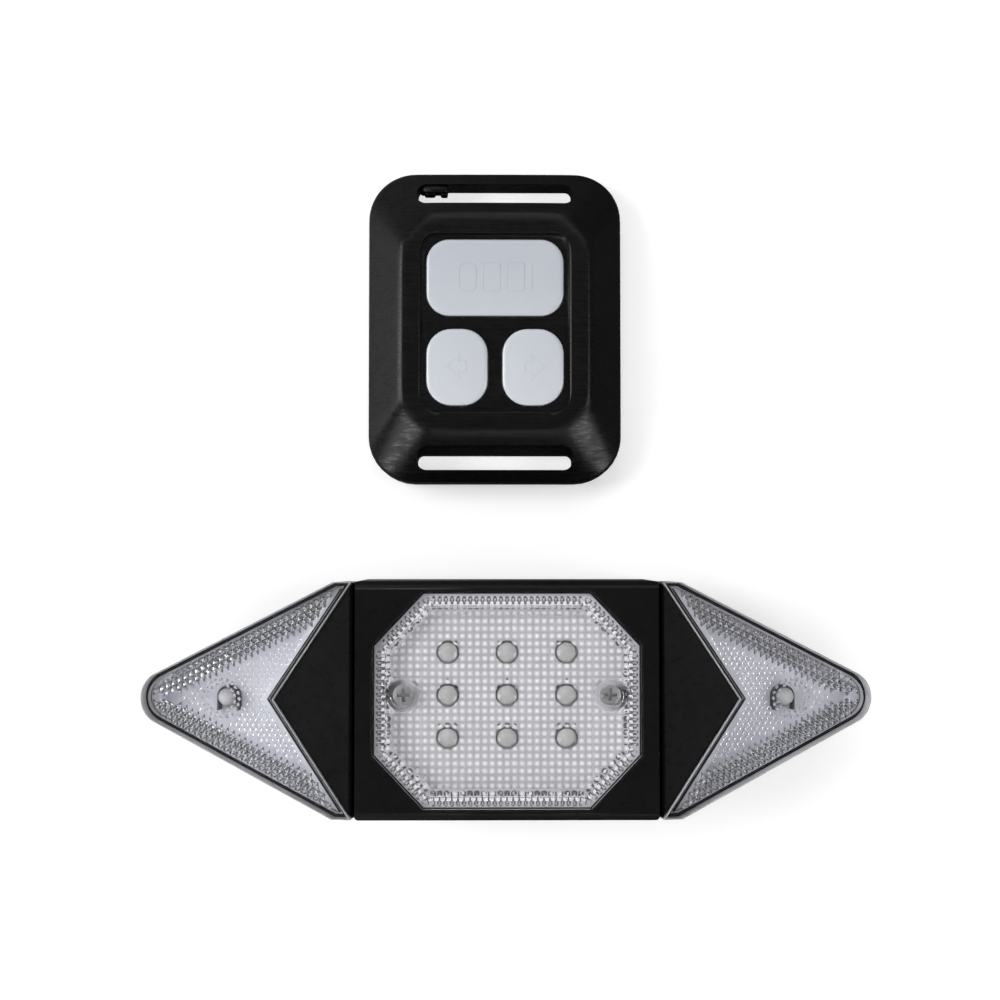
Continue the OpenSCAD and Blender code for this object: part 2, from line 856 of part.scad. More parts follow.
// The remote's sloped outside, moved inwards by d, up to z = top
module remote_hull(d, top) {
    hull() {
        translate([0, 0, base_d])
            linear_extrude(shell_band)
                rounded(remote_w - 2 * d, remote_l - 2 * d, remote_r - d, $fn = hull_fn);
        translate([0, 0, top - eps])
            linear_extrude(eps) plateau(d);
    }
}

// The plateau's outline: a rectangle with cut corners, softened at every vertex
module plateau(d) {
    soft = 1.2;
    w = plateau_w / 2 - d - soft;
    l = plateau_l / 2 - d - soft;
    hull()
        for (x = [-1, 1], y = [-1, 1]) {
            translate([x * (w - plateau_cut), y * l]) circle(soft, $fn = hull_fn);
            translate([x * w, y * (l - plateau_cut)]) circle(soft, $fn = hull_fn);
        }
}

// A pair of strap slots
module strap_slots(y, w, low, high) {
    flat = 0.3;
    for (side = [-1, 1])
        translate([0, side * y, 0])
            block(strap_slot_l, w, w / 2 - flat, low, high);
}

// Snap windows at the foot of both slots' inner walls
module snap_windows() {
    wall_y = slot_y - strap_slot_w / 2;
    for (x = [-snap_x, snap_x], side = [-1, 1])
        translate([x, side * wall_y, base_d + snap_h / 2])
            cube([snap_w, 2 * snap_d, snap_h], center = true);
}

// Puts its children at the remote's four screws
module at_base_screws() {
    for (x = [-base_screw_x, base_screw_x], y = [-base_screw_y, base_screw_y])
        translate([x, y, 0]) children();
}

// Outlines of the three keys, grown by d
module key_outline(which, d) {
    if (which == "mode")
        translate([0, key_row]) rounded(mode_w + 2 * d, key_h + 2 * d, mode_r + d);
    if (which == "left")
        translate([-arrow_x, -key_row]) rounded(arrow_w + 2 * d, key_h + 2 * d, arrow_r + d);
    if (which == "right")
        translate([arrow_x, -key_row]) rounded(arrow_w + 2 * d, key_h + 2 * d, arrow_r + d);
}

// The middle of each key
function key_middle(which) =
    which == "mode" ? [0, key_row] : [which == "left" ? -arrow_x : arrow_x, -key_row];

// A prism of a key's outline
module key_prism(which, d, low, high) {
    translate([0, 0, low])
        linear_extrude(high - low) key_outline(which, d);
}

module remote_top_shell() {
    field_w = mode_w + 2 * field_margin;
    field_l = 2 * key_h + key_gap_y + 2 * field_margin;
    color(black) at_remote()
        difference() {
            remote_hull(0, remote_h);
            difference() {
                intersection() {
                    remote_hull(shell_wall, roof_z);
                    translate([-remote_w / 2, -cavity_l / 2, 0])
                        cube([remote_w, cavity_l, roof_z]);
                }
                at_base_screws() cylinder(r = base_boss_r, h = remote_h);
            }
            translate([0, 0, base_d - over])
                linear_extrude(over + eps) square([remote_w - 2 * shell_wall, cavity_l], center = true);
            block(field_w, field_l, field_r, field_z, remote_h + over);
            for (which = ["mode", "left", "right"])
                key_prism(which, run_fit, roof_z - over, remote_h + over);
            strap_slots(slot_y, strap_slot_w, 0, remote_h);
            snap_windows();
            at_base_screws()
                translate([0, 0, base_d - over]) cylinder(r = screw_r, h = base_screw_l);
        }
}

module remote_base() {
    edge = 0.8;
    side_rest = 1;
    lug_spread = 3;
    color(black) at_remote()
        difference() {
            union() {
                hull() {
                    linear_extrude(eps)
                        rounded(remote_w - 2 * edge, remote_l - 2 * edge, remote_r - edge, $fn = hull_fn);
                    translate([0, 0, edge])
                        linear_extrude(base_d - edge)
                            rounded(remote_w, remote_l, remote_r, $fn = hull_fn);
                }
                board_rests();
            }
            difference() {
                translate([0, 0, base_floor])
                    linear_extrude(base_d)
                        square([remote_w - 2 * shell_wall - 2 * side_rest, cavity_l], center = true);
                at_base_screws() cylinder(r = base_boss_r, h = base_d);
                board_rests();
            }
            translate([0, 0, -over]) cylinder(r = base_hole_r, h = base_d);
            for (turn = [0, 180])
                rotate([0, 0, turn + door_turn])
                    door_lug(-over, base_floor + over, lug_spread, lay_fit);
            strap_slots(slot_base_y, strap_slot_base_w, -over, base_d + over);
            at_base_screws() {
                translate([0, 0, -over]) cylinder(r = screw_r + run_fit, h = base_d + 2 * over);
                translate([0, 0, -over])
                    cylinder(r = screw_head_r + lay_fit, h = over + base_head_h + lay_fit);
            }
        }
}

// Two ledges in the bottom shell that the remote's board lies on
module board_rests() {
    ledge_w = 2;
    ledge_l = 12;
    for (side = [-1, 1])
        translate([side * (remote_board_w / 2 - ledge_w / 2), 0, remote_board_z / 2])
            cube([ledge_w, ledge_l, remote_board_z], center = true);
}

// A bayonet lug of the coin-cell door, widened by spread degrees and grown by play
module door_lug(low, high, spread, play) {
    lug_angle = 26;
    lug_lap = 1;
    lug_reach = 1.2;
    turn = lug_angle / 2 + spread;
    translate([0, 0, low])
        rotate([0, 0, -turn])
            rotate_extrude(angle = 2 * turn)
                translate([door_dia / 2 - lug_lap, 0])
                    square([lug_lap + lug_reach + play, high - low]);
}

module base_screws() {
    recess = 0.6;
    color(steel) at_remote() at_base_screws()
        difference() {
            union() {
                translate([0, 0, lay_fit]) cylinder(r = screw_head_r, h = base_head_h);
                translate([0, 0, lay_fit])
                    cylinder(r = screw_r, h = base_d - over + base_screw_l - base_screw_tip);
            }
            for (turn = [0, 90])
                translate([0, 0, lay_fit])
                    rotate([0, 0, turn]) cube([cross_l, cross_w, 2 * recess], center = true);
        }
}

module remote_board() {
    color(board_green) at_remote()
        difference() {
            translate([-remote_board_w / 2, -remote_board_l / 2, remote_board_z])
                cube([remote_board_w, remote_board_l, board_t]);
            for (x = [-1, 1], y = [-1, 1])
                translate([x * remote_board_w / 2, y * remote_board_l / 2, remote_board_z])
                    cube([board_notch, board_notch, 3 * board_t], center = true);
        }
}

module key_switches() {
    color([0.2, 0.2, 0.22]) at_remote()
        for (which = ["mode", "left", "right"])
            translate(key_middle(which))
                difference() {
                    translate([-key_switch_w / 2, -key_switch_w / 2, remote_board_top])
                        cube([key_switch_w, key_switch_w, key_switch_h]);
                    translate([0, 0, remote_board_top + key_switch_h - key_plunger_in])
                        cylinder(r = key_plunger_r + run_fit, h = key_switch_h);
                }
}

module coin_cell() {
    rim = 0.5;
    shoulder = 1.2;
    cap = 1.6;
    color(steel) at_remote()
        translate([0, 0, cell_z])
            rotate_extrude() polygon([
                [0, 0], [cell_dia / 2 - rim, 0], [cell_dia / 2, rim],
                [cell_dia / 2, cell_t - rim], [cell_dia / 2 - shoulder, cell_t - rim],
                [cell_dia / 2 - cap, cell_t], [0, cell_t]
            ]);
}

module cell_contact() {
    arm = 3;
    color([0.8, 0.7, 0.4]) at_remote()
        for (turn = [0, 90])
            rotate([0, 0, turn])
                translate([-cell_dia / 2 + arm, -arm / 2, contact_z])
                    cube([cell_dia - 2 * arm, arm, contact_t]);
}

module cell_door() {
    coin_l = 13;
    coin_w = 1.8;
    coin_d = 0.8;
    lug_t = 0.7;
    lug_low = base_floor + lay_fit;
    lug_high = lug_low + lug_t;
    color(deck_black) at_remote()
        difference() {
            union() {
                cylinder(d = door_dia, h = lug_high);
                for (turn = [0, 180])
                    rotate([0, 0, turn]) door_lug(lug_low, lug_high, 0, 0);
            }
            translate([0, 0, base_floor]) cylinder(d = cell_dia + 2 * lay_fit, h = base_d);
            translate([-coin_l / 2, -coin_w / 2, -over])
                cube([coin_l, coin_w, over + coin_d]);
            seal_ring(run_fit);
        }
}

// The door's seal groove, or the seal itself when play is 0
module seal_ring(play) {
    seal_r = 0.4;
    rotate_extrude()
        translate([door_dia / 2 - seal_r, base_floor / 2]) circle(seal_r + play);
}

module door_seal() {
    color(rubber) at_remote() seal_ring(0);
}

// A key: flange under the shell's roof, upright skirt and a softened top
module key(which) {
    soft = 0.5;
    at_remote() {
        key_prism(which, flange_w, flange_z, flange_z + flange_t);
        key_prism(which, -lay_fit, flange_z, key_top - soft);
        translate([0, 0, key_top - soft - eps])
            key_prism(which, -lay_fit - soft / 3, 0, soft * 2 / 3 + eps);
        translate([0, 0, key_top - soft])
            key_prism(which, -lay_fit - soft, 0, soft);
    }
}

// The switch plunger that a key pushes
module key_plunger(which) {
    top = remote_board_top + key_switch_h;
    low = top - key_plunger_in + key_travel + end_fit / 2;
    at_remote()
        translate(concat(key_middle(which), [low]))
            cylinder(r = key_plunger_r, h = flange_z - low);
}

rear_housing();
front_bezel();
bezel_gasket();
center_lens();
lens_screws();
center_reflector();
center_leds();
center_led_board();
control_board();
battery_cell();
usb_socket();
usb_port_flap();
power_switch();
power_switch_plunger();
power_button();
wing_lens(-1);  // left_wing_lens
wing_reflector(-1);  // left_wing_reflector
wing_led(-1);  // left_wing_led
wing_board(-1);  // left_wing_board
wing_lens(1);  // right_wing_lens
wing_reflector(1);  // right_wing_reflector
wing_led(1);  // right_wing_led
wing_board(1);  // right_wing_board
remote_base();
remote_top_shell();
base_screws();
remote_board();
key_switches();
coin_cell();
cell_contact();
cell_door();
door_seal();
color(key_grey) key("mode");  // mode_key
color(steel) key_plunger("mode");  // mode_key_plunger
color(key_grey) key("left");  // left_key
color(steel) key_plunger("left");  // left_key_plunger
color(key_grey) key("right");  // right_key
color(steel) key_plunger("right");  // right_key_plunger
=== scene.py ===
"""Looks of the bicycle turn signal set: a tail lamp with two clear wings and its handlebar remote."""
import math

import bmesh
import bpy
import numpy as np
from mathutils import Matrix, Vector


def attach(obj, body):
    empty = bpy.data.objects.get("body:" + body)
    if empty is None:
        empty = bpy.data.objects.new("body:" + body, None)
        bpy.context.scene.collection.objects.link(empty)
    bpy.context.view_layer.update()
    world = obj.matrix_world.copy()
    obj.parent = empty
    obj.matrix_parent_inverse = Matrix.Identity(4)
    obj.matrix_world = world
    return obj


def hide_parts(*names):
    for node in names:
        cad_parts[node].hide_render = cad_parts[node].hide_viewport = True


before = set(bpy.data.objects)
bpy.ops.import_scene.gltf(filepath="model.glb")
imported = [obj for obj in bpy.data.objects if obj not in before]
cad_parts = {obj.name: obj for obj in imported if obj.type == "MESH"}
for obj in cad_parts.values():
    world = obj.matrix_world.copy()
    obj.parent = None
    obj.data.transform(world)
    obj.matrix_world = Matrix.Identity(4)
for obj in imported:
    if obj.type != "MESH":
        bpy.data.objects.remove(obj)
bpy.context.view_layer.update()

MM = 0.001

# Places and sizes repeated from the part, in millimetres
LAMP_Y, LAMP_HALF_L, BEZEL_TOP_Z = -37.3, 20.4, 22.0
LENS_W, LENS_H = 45.7, 36.7
LENS_CUT_X, LENS_CUT_Y = 8.5, 9.0
LENS_INNER_Z, LENS_BOTTOM_Z = 22.0, 20.2
LENS_STEP, RIB_PITCH, REFLECTOR_TOP_Z = 0.5, 1.05, 18.6
SCREW_X, WELL_R = 17.75, 2.75
LED_PITCH_X, LED_PITCH_Y, ARRAY_UP = 10.155, 7.281, 0.9
CREASE_X, CREASE_Z = 26.0, 21.5
SWEEP = math.radians(10)
ROOT_HALF = 20.2
WING_TIP_S, WING_TIP_R = 34.0, 4.6
WING_ANGLE, WING_TIP_KINK = math.radians(26.566), math.radians(4)
NOTCH_S, NOTCH_ANGLE = 14.4, math.radians(55.76)
WING_INNER_U, WING_FOOT_U, WING_TOP_U, WING_TRAY_U = -0.9, -3.0, 0.6, -6.0
WING_LED_S, WING_RIM = 24.0, 1.1
REMOTE_X, REMOTE_Y = -2.0, 29.15
REMOTE_W, REMOTE_L, REMOTE_R = 46.3, 57.1, 8.6
PLATEAU_W, PLATEAU_L, PLATEAU_CUT, PLATEAU_SOFT = 33.9, 39.1, 4.2, 1.2
BAND_FOOT_Z, BAND_TOP_Z, REMOTE_TOP_Z = 4.0, 5.0, 12.2
KEY_H, KEY_ROW = 14.0, 8.05
ARROW_W, ARROW_X, MODE_W = 11.2, 6.8, 24.8
KEY_FOOT_Z, KEY_FLANGE_Z, KEY_TOP_Z = 9.0, 9.9, 12.4

# Fine detail of the centre lens: pillows, sheets of optics, LED collars whose grey is painted shade, and bars of
# painted shade between the ribs
PILLOW_PITCH, PILLOW_DEPTH, WINDOW_R = LED_PITCH_X / 8, 0.3, 1.75
OPTIC_INSET, OPTIC_BACK, OPTIC_STEP = 2.3, 0.12, 0.19
MIDDLE_REACH, SEAM = PILLOW_PITCH * 11.5, 0.04
COLLAR_INNER, COLLAR_OUTER, COLLAR_H = 1.56, 1.76, 0.45
RIB_SHADE_START, RIB_SHADE_END, RIB_SHADE_NARROW, RIB_SHADE_WIDE, RIB_SHADE_TOP = 0.3, 2.2, 0.2, 0.28, 0.08
LIFT = 0.02

# Fine detail of the wings: prisms, and dark arches of painted shade round the LEDs
PRISM_PITCH, PRISM_BAND = 1.2, 4.9
PRISM_INSET, PRISM_DEPTH, TURNED_DEPTH = WING_RIM + 0.7, 0.8, 0.42
LED_CLEAR = 4.3
ARCH_R, ARCH_LEG, ARCH_WALL, ARCH_H = 1.8, 2.4, 0.36, 1.6
# Radius and height of the rings of a pearl and of a cone, and radius and count of the two rows of cones
PEARL_PITCH, PEARL_GAP, PEARL = 1.0, 0.75, ((0.04, -0.17), (0.2, -0.14), (0.33, -0.07), (0.41, 0.0))
CONE, CONE_ROWS = ((0.03, -0.62), (0.33, 0.0)), ((2.5, 15), (3.3, 20))

# Softened shells: joining distance and angles, the largest smooth face, and how far edges are rounded
MERGE, TOUCH = 0.002, 0.02
FLAT, SHARP, SHARP_STRIP = math.radians(0.5), math.radians(25), math.radians(40)
STRIP, FOOT_CORNER = 12.0, 44.5
TUB_SOFT, BEZEL_SOFT, FOOT_SOFT = 0.5, 0.35, 0.6
SLOPES, HAIR = 144, 0.04
CREASE_SOFT, PLATEAU_EDGE, BAND_SOFT = 0.12, 0.3, 0.45

# Film behind every clear face, so that two clear solids never share a surface
AIR_FILM = 0.012


# Meshes

def quads(rows, cols, wrap):
    """Four-sided faces between neighbouring rows of a rows by cols grid; wrap joins the last column to the first."""
    across = cols if wrap else cols - 1
    i, j = np.meshgrid(np.arange(rows - 1), np.arange(across), indexing="ij")
    k = (j + 1) % cols
    return np.stack([i * cols + j, i * cols + k, (i + 1) * cols + k, (i + 1) * cols + j], -1).reshape(-1, 4)


def mesh_from(name, points, face_sets):
    """A mesh from points in millimetres and arrays of faces, each array holding faces of one size."""
    mesh = bpy.data.meshes.new(name)
    loops = np.concatenate([np.asarray(f, np.int32).ravel() for f in face_sets])
    sizes = np.concatenate([np.full(len(f), np.asarray(f).shape[1], np.int32) for f in face_sets])
    starts = np.concatenate([[0], np.cumsum(sizes)[:-1]]).astype(np.int32)
    mesh.vertices.add(len(points))
    mesh.vertices.foreach_set("co", (np.asarray(points, np.float64) * MM).astype(np.float32).ravel())
    mesh.loops.add(len(loops))
    mesh.loops.foreach_set("vertex_index", loops)
    mesh.polygons.add(len(sizes))
    mesh.polygons.foreach_set("loop_start", starts)
    mesh.polygons.foreach_set("loop_total", sizes)
    mesh.update(calc_edges=True)
    mesh.validate()
    return mesh


def piece(name, points, face_sets, material, body, smooth=False):
    """Puts a new mesh piece into the scene on its body, with its finish."""
    mesh = mesh_from(name, points, face_sets)
    mesh.polygons.foreach_set("use_smooth", np.full(len(mesh.polygons), smooth))
    if smooth:
        mesh.set_sharp_from_angle(angle=math.radians(50))
    mesh.materials.append(material)
    obj = bpy.data.objects.new(name, mesh)
    bpy.context.scene.collection.objects.link(obj)
    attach(obj, body)
    return obj


def repeated(points, face_sets, places):
    """One small solid copied to every place: its points are added to each place and its faces counted on."""
    all_points = (places[:, None, :] + points[None, :, :]).reshape(-1, 3)
    step = (np.arange(len(places)) * len(points))[:, None, None]
    return all_points, [(f[None] + step).reshape(-1, f.shape[1]) for f in face_sets]


def joined(solids):
    """Several solids as one list of points and faces, with each solid's faces counted on from the last."""
    points, faces, base = [], [], 0
    for p, fs in solids:
        points.append(p)
        faces.extend([np.asarray(f) + base for f in fs])
        base += len(p)
    return np.concatenate(points), faces


def flipped(face_sets):
    """The same faces turned to look the other way."""
    return [f[:, ::-1] for f in face_sets]


def level(ring, z):
    """A flat ring of points set at one height."""
    return np.column_stack([ring, np.full(len(ring), z)])


def circle(r, z, angle):
    """Points at the given angles round a circle, at one height."""
    return np.stack([r * np.cos(angle), r * np.sin(angle), np.full(len(angle), z)], -1)


def lofted(rings):
    """A closed skin over rings of equal count, from the lowest up: sides from ring to ring, and a cap at each end."""
    count, n = len(rings), len(rings[0])
    points = np.concatenate(rings)
    sides = quads(count, n, True)
    low = np.arange(n)[::-1][None]
    high = (np.arange(n) + (count - 1) * n)[None]
    return points, [sides, low, high]


def swept_round(rings):
    """A closed band: rings of equal count joined each to the next and the last back to the first."""
    n = len(rings[0])
    grid = np.arange(len(rings) * n).reshape(len(rings), n)
    up = np.roll(grid, -1, axis=0)
    faces = np.stack([grid, np.roll(grid, -1, axis=1), np.roll(up, -1, axis=1), up], -1).reshape(-1, 4)
    return np.concatenate(rings), [faces]


# Outlines

def octagon(inset):
    """Corners of the lens outline moved inwards: each side keeps its direction and shifts by the inset."""
    w, h = LENS_W / 2, LENS_H / 2
    c = LENS_CUT_Y * (w - LENS_CUT_X) + LENS_CUT_X * h - inset * math.hypot(LENS_CUT_X, LENS_CUT_Y)
    x = (c - LENS_CUT_X * (h - inset)) / LENS_CUT_Y
    y = (c - LENS_CUT_Y * (w - inset)) / LENS_CUT_X
    w, h = w - inset, h - inset
    return np.array([[w, -y], [w, y], [x, h], [-x, h], [-w, y], [-w, -y], [-x, -h], [x, -h]])


def from_long_edge(spots):
    """How far spots on a dart lie inside the nearer one of its two long edges."""
    apex = WING_TIP_S + WING_TIP_R / math.sin(WING_ANGLE)
    return (apex - spots[:, 0]) * math.sin(WING_ANGLE) - np.abs(spots[:, 1]) * math.cos(WING_ANGLE)


def from_notch(spots):
    """How far spots on a dart lie beyond the nearer one of its two notch edges."""
    return (spots[:, 0] - NOTCH_S) * math.sin(NOTCH_ANGLE) + np.abs(spots[:, 1]) * math.cos(NOTCH_ANGLE)


def in_dart(points, inset):
    """True where a wing point lies inside the dart: under both long edges, short of the tip and beyond the notch."""
    s, t = points[:, 0], np.abs(points[:, 1])
    apex = WING_TIP_S + (WING_TIP_R - inset) / math.sin(WING_ANGLE)
    edge = (apex - s) * math.sin(WING_ANGLE) - t * math.cos(WING_ANGLE) >= 0
    tip = (s < WING_TIP_S) | (np.hypot(s - WING_TIP_S, t) <= WING_TIP_R - inset)
    return edge & tip & (from_notch(points) >= inset) & (t <= ROOT_HALF - inset)


def wing_to_set(points, side):
    """Wing coordinates (along the wing, up the lamp, out of its face) turned by the sweep into the set's frame."""
    s, t, u = points[:, 0], points[:, 1], points[:, 2]
    x = CREASE_X + s * math.cos(SWEEP) + u * math.sin(SWEEP)
    z = CREASE_Z - s * math.sin(SWEEP) + u * math.cos(SWEEP)
    return np.stack([side * x, LAMP_Y + t, z], -1)


def rounded_ring(w, h, r, count):
    """Points of a rectangle with round corners: each corner's quarter circle in turn, counter-clockwise."""
    turn = np.linspace(0, math.pi / 2, count)
    corner = np.array([[1, 1], [-1, 1], [-1, -1], [1, -1]])
    start = np.arange(4) * math.pi / 2
    angle = start[:, None] + turn[None]
    x = corner[:, 0, None] * (w / 2 - r) + r * np.cos(angle)
    y = corner[:, 1, None] * (h / 2 - r) + r * np.sin(angle)
    return np.stack([x.ravel(), y.ravel()], -1)


# Materials

def nodes_of(name):
    """A new node material with its tree, its Principled shader and the object's own coordinates."""
    mat = bpy.data.materials.new(name)
    mat.use_nodes = True
    tree = mat.node_tree
    shader = tree.nodes["Principled BSDF"]
    coord = tree.nodes.new("ShaderNodeTexCoord").outputs["Object"]
    return mat, tree, shader, coord


def noise(tree, coord, scale, detail=3.0, rough=0.55):
    """Noise over the object at a number of bumps per metre."""
    node = tree.nodes.new("ShaderNodeTexNoise")
    node.inputs["Scale"].default_value = scale
    node.inputs["Detail"].default_value = detail
    node.inputs["Roughness"].default_value = rough
    tree.links.new(coord, node.inputs["Vector"])
    return node.outputs["Fac"]


def spread(tree, value, low, high):
    """A noise value carried onto the range from low to high."""
    return ranged(tree, value, 0.3, 0.7, low, high)


def blended(tree, value, first, second):
    """Two colours blended by a noise value."""
    node = tree.nodes.new("ShaderNodeValToRGB")
    node.color_ramp.elements[0].position = 0.32
    node.color_ramp.elements[1].position = 0.68
    node.color_ramp.elements[0].color = (*first, 1)
    node.color_ramp.elements[1].color = (*second, 1)
    tree.links.new(value, node.inputs["Fac"])
    return node.outputs["Color"]


def worked(tree, operation, first, second=0.0, third=0.0):
    """One arithmetic node; each operand is a number or another node's value."""
    node = tree.nodes.new("ShaderNodeMath")
    node.operation = operation
    for i, operand in enumerate((first, second, third)):
        if isinstance(operand, (int, float)):
            node.inputs[i].default_value = operand
        else:
            tree.links.new(operand, node.inputs[i])
    return node.outputs["Value"]


def split_xyz(tree, vector):
    """The X and Y of a vector."""
    node = tree.nodes.new("ShaderNodeSeparateXYZ")
    tree.links.new(vector, node.inputs["Vector"])
    return node.outputs["X"], node.outputs["Y"]


def ranged(tree, value, start, stop, first, second):
    """A value carried evenly from one range to another, and held at its ends."""
    node = tree.nodes.new("ShaderNodeMapRange")
    for socket, number in zip(("From Min", "From Max", "To Min", "To Max"), (start, stop, first, second)):
        node.inputs[socket].default_value = number
    tree.links.new(value, node.inputs["Value"])
    return node.outputs["Result"]


def grained(tree, shader, height, strength, depth):
    """A bump of the given depth in metres on the shader's normal."""
    node = tree.nodes.new("ShaderNodeBump")
    node.inputs["Strength"].default_value = strength
    node.inputs["Distance"].default_value = depth
    tree.links.new(height, node.inputs["Height"])
    tree.links.new(node.outputs["Normal"], shader.inputs["Normal"])


def moulded(name, first, second, gloss, grain, depth, specular=0.5):
    """Moulded plastic: a slow drift between two shades, uneven gloss and a fine eroded grain."""
    mat, tree, shader, coord = nodes_of(name)
    drift = noise(tree, coord, 90)
    fine = noise(tree, coord, grain, 2.0)
    tree.links.new(blended(tree, drift, first, second), shader.inputs["Base Color"])
    tree.links.new(spread(tree, noise(tree, coord, 700), *gloss), shader.inputs["Roughness"])
    shader.inputs["Specular IOR Level"].default_value = specular
    grained(tree, shader, fine, 0.35, depth)
    return mat


def key_plastic(name, upper, lower, gloss):
    """Grey key plastic: paler towards the rider's edge of the remote as a painted shade gradient, uneven gloss and a
    very fine grain.
    """
    mat, tree, shader, coord = nodes_of(name)
    _, y = split_xyz(tree, coord)
    height = worked(tree, "SUBTRACT", worked(tree, "MULTIPLY", y, 1 / MM), REMOTE_Y)
    # Painted shade: the key tone runs darker towards the far edge of the remote and paler towards the rider's edge.
    rise = worked(tree, "MULTIPLY_ADD", height, -0.4 / 30, 0.5)
    drift = worked(tree, "MULTIPLY_ADD", noise(tree, coord, 160), 0.12, -0.06)
    tree.links.new(blended(tree, worked(tree, "ADD", rise, drift), upper, lower), shader.inputs["Base Color"])
    tree.links.new(spread(tree, noise(tree, coord, 700), *gloss), shader.inputs["Roughness"])
    grained(tree, shader, noise(tree, coord, 6000, 2.0), 0.3, 0.00001)
    return mat


def clear_plastic(name, tint, gloss):
    """Clear moulded acrylic that bends what is behind it, with faint haze; lamp rays pass straight through."""
    mat, tree, shader, coord = nodes_of(name)
    shader.inputs["Base Color"].default_value = (*tint, 1)
    shader.inputs["Transmission Weight"].default_value = 1.0
    shader.inputs["IOR"].default_value = 1.49
    tree.links.new(spread(tree, noise(tree, coord, 400), *gloss), shader.inputs["Roughness"])
    path = tree.nodes.new("ShaderNodeLightPath")
    through = tree.nodes.new("ShaderNodeBsdfTransparent")
    through.inputs["Color"].default_value = (*tint, 1)
    mix = tree.nodes.new("ShaderNodeMixShader")
    tree.links.new(path.outputs["Is Shadow Ray"], mix.inputs["Fac"])
    tree.links.new(shader.outputs["BSDF"], mix.inputs[1])
    tree.links.new(through.outputs["BSDF"], mix.inputs[2])
    tree.links.new(mix.outputs["Shader"], tree.nodes["Material Output"].inputs["Surface"])
    return mat


def pillow_shade_plastic(name, tint, gloss):
    """The clear plastic over the LEDs, tinted with painted shade between the pillows so their middles read bright, and
    with a fine ring of painted shade round each LED.
    """
    mat = clear_plastic(name, tint, gloss)
    tree = mat.node_tree
    shader = tree.nodes["Principled BSDF"]
    coord = tree.nodes["Texture Coordinate"].outputs["Object"]
    x, y = (worked(tree, "MULTIPLY", part, 1 / MM) for part in split_xyz(tree, coord))
    y = worked(tree, "SUBTRACT", y, LAMP_Y + ARRAY_UP)
    waves, squares = [], []
    for v, pitch in ((x, LED_PITCH_X), (y, LED_PITCH_Y)):
        wave = worked(tree, "COSINE", worked(tree, "MULTIPLY", v, 2 * math.pi / PILLOW_PITCH))
        waves.append(worked(tree, "MULTIPLY_ADD", wave, 0.5, 0.5))
        near = worked(tree, "ABSOLUTE", worked(tree, "WRAP", v, pitch / 2, -pitch / 2))
        squares.append(worked(tree, "POWER", near, 2.0))
    # Painted shade: the tint darkens the plastic between the pillows, so their middles read as bright spots.
    shade = worked(tree, "MULTIPLY_ADD", worked(tree, "POWER", worked(tree, "MULTIPLY", *waves), 0.75), 0.46, 0.54)
    gap = worked(tree, "SQRT", worked(tree, "ADD", *squares))
    for v, pitch in ((x, LED_PITCH_X), (y, LED_PITCH_Y)):
        beyond = worked(tree, "GREATER_THAN", worked(tree, "ABSOLUTE", v), 1.5 * pitch)
        gap = worked(tree, "MULTIPLY_ADD", beyond, 9.0, gap)
    shade = worked(tree, "MAXIMUM", shade, worked(tree, "LESS_THAN", gap, WINDOW_R))
    # A fine ring of painted shade round each LED window, only within the array of LEDs.
    ring = worked(tree, "COMPARE", gap, WINDOW_R + 0.06, 0.1)
    shade = worked(tree, "MULTIPLY_ADD", ring, -0.2, shade)
    tree.links.new(shade, shader.inputs["Base Color"])
    return mat


def milky(name, first, second):
    """Cloudy epoxy of an unlit LED: pale, smooth and partly see-through."""
    mat, tree, shader, coord = nodes_of(name)
    tree.links.new(blended(tree, noise(tree, coord, 900), first, second), shader.inputs["Base Color"])
    tree.links.new(spread(tree, noise(tree, coord, 1500), 0.3, 0.42), shader.inputs["Roughness"])
    shader.inputs["Transmission Weight"].default_value = 0.12
    shader.inputs["IOR"].default_value = 1.5
    return mat


def metal(name, first, second, gloss):
    """Plated metal with a drift in shade and fine rubbed gloss."""
    mat, tree, shader, coord = nodes_of(name)
    shader.inputs["Metallic"].default_value = 1.0
    tree.links.new(blended(tree, noise(tree, coord, 500), first, second), shader.inputs["Base Color"])
    tree.links.new(spread(tree, noise(tree, coord, 2500), *gloss), shader.inputs["Roughness"])
    grained(tree, shader, noise(tree, coord, 6000), 0.2, 0.00001)
    return mat


def rubbed(name, first, second, gloss, specular):
    """Shiny moulded plastic with handling marks: the moulded finish, and thin streaks that catch the light."""
    mat, tree, shader, coord = nodes_of(name)
    tree.links.new(blended(tree, noise(tree, coord, 90), first, second), shader.inputs["Base Color"])
    turn = tree.nodes.new("ShaderNodeMapping")
    turn.inputs["Rotation"].default_value = (0.2, 0.1, 0.7)
    turn.inputs["Scale"].default_value = (120, 2600, 900)
    tree.links.new(coord, turn.inputs["Vector"])
    streak = noise(tree, turn.outputs["Vector"], 1.0, 2.0)
    uneven = worked(tree, "ADD", spread(tree, noise(tree, coord, 500), *gloss), spread(tree, streak, -0.05, 0.09))
    tree.links.new(uneven, shader.inputs["Roughness"])
    shader.inputs["Specular IOR Level"].default_value = specular
    height = worked(tree, "ADD", noise(tree, coord, 4600, 2.0), spread(tree, streak, 0.0, 1.2))
    grained(tree, shader, height, 0.3, 0.00002)
    return mat


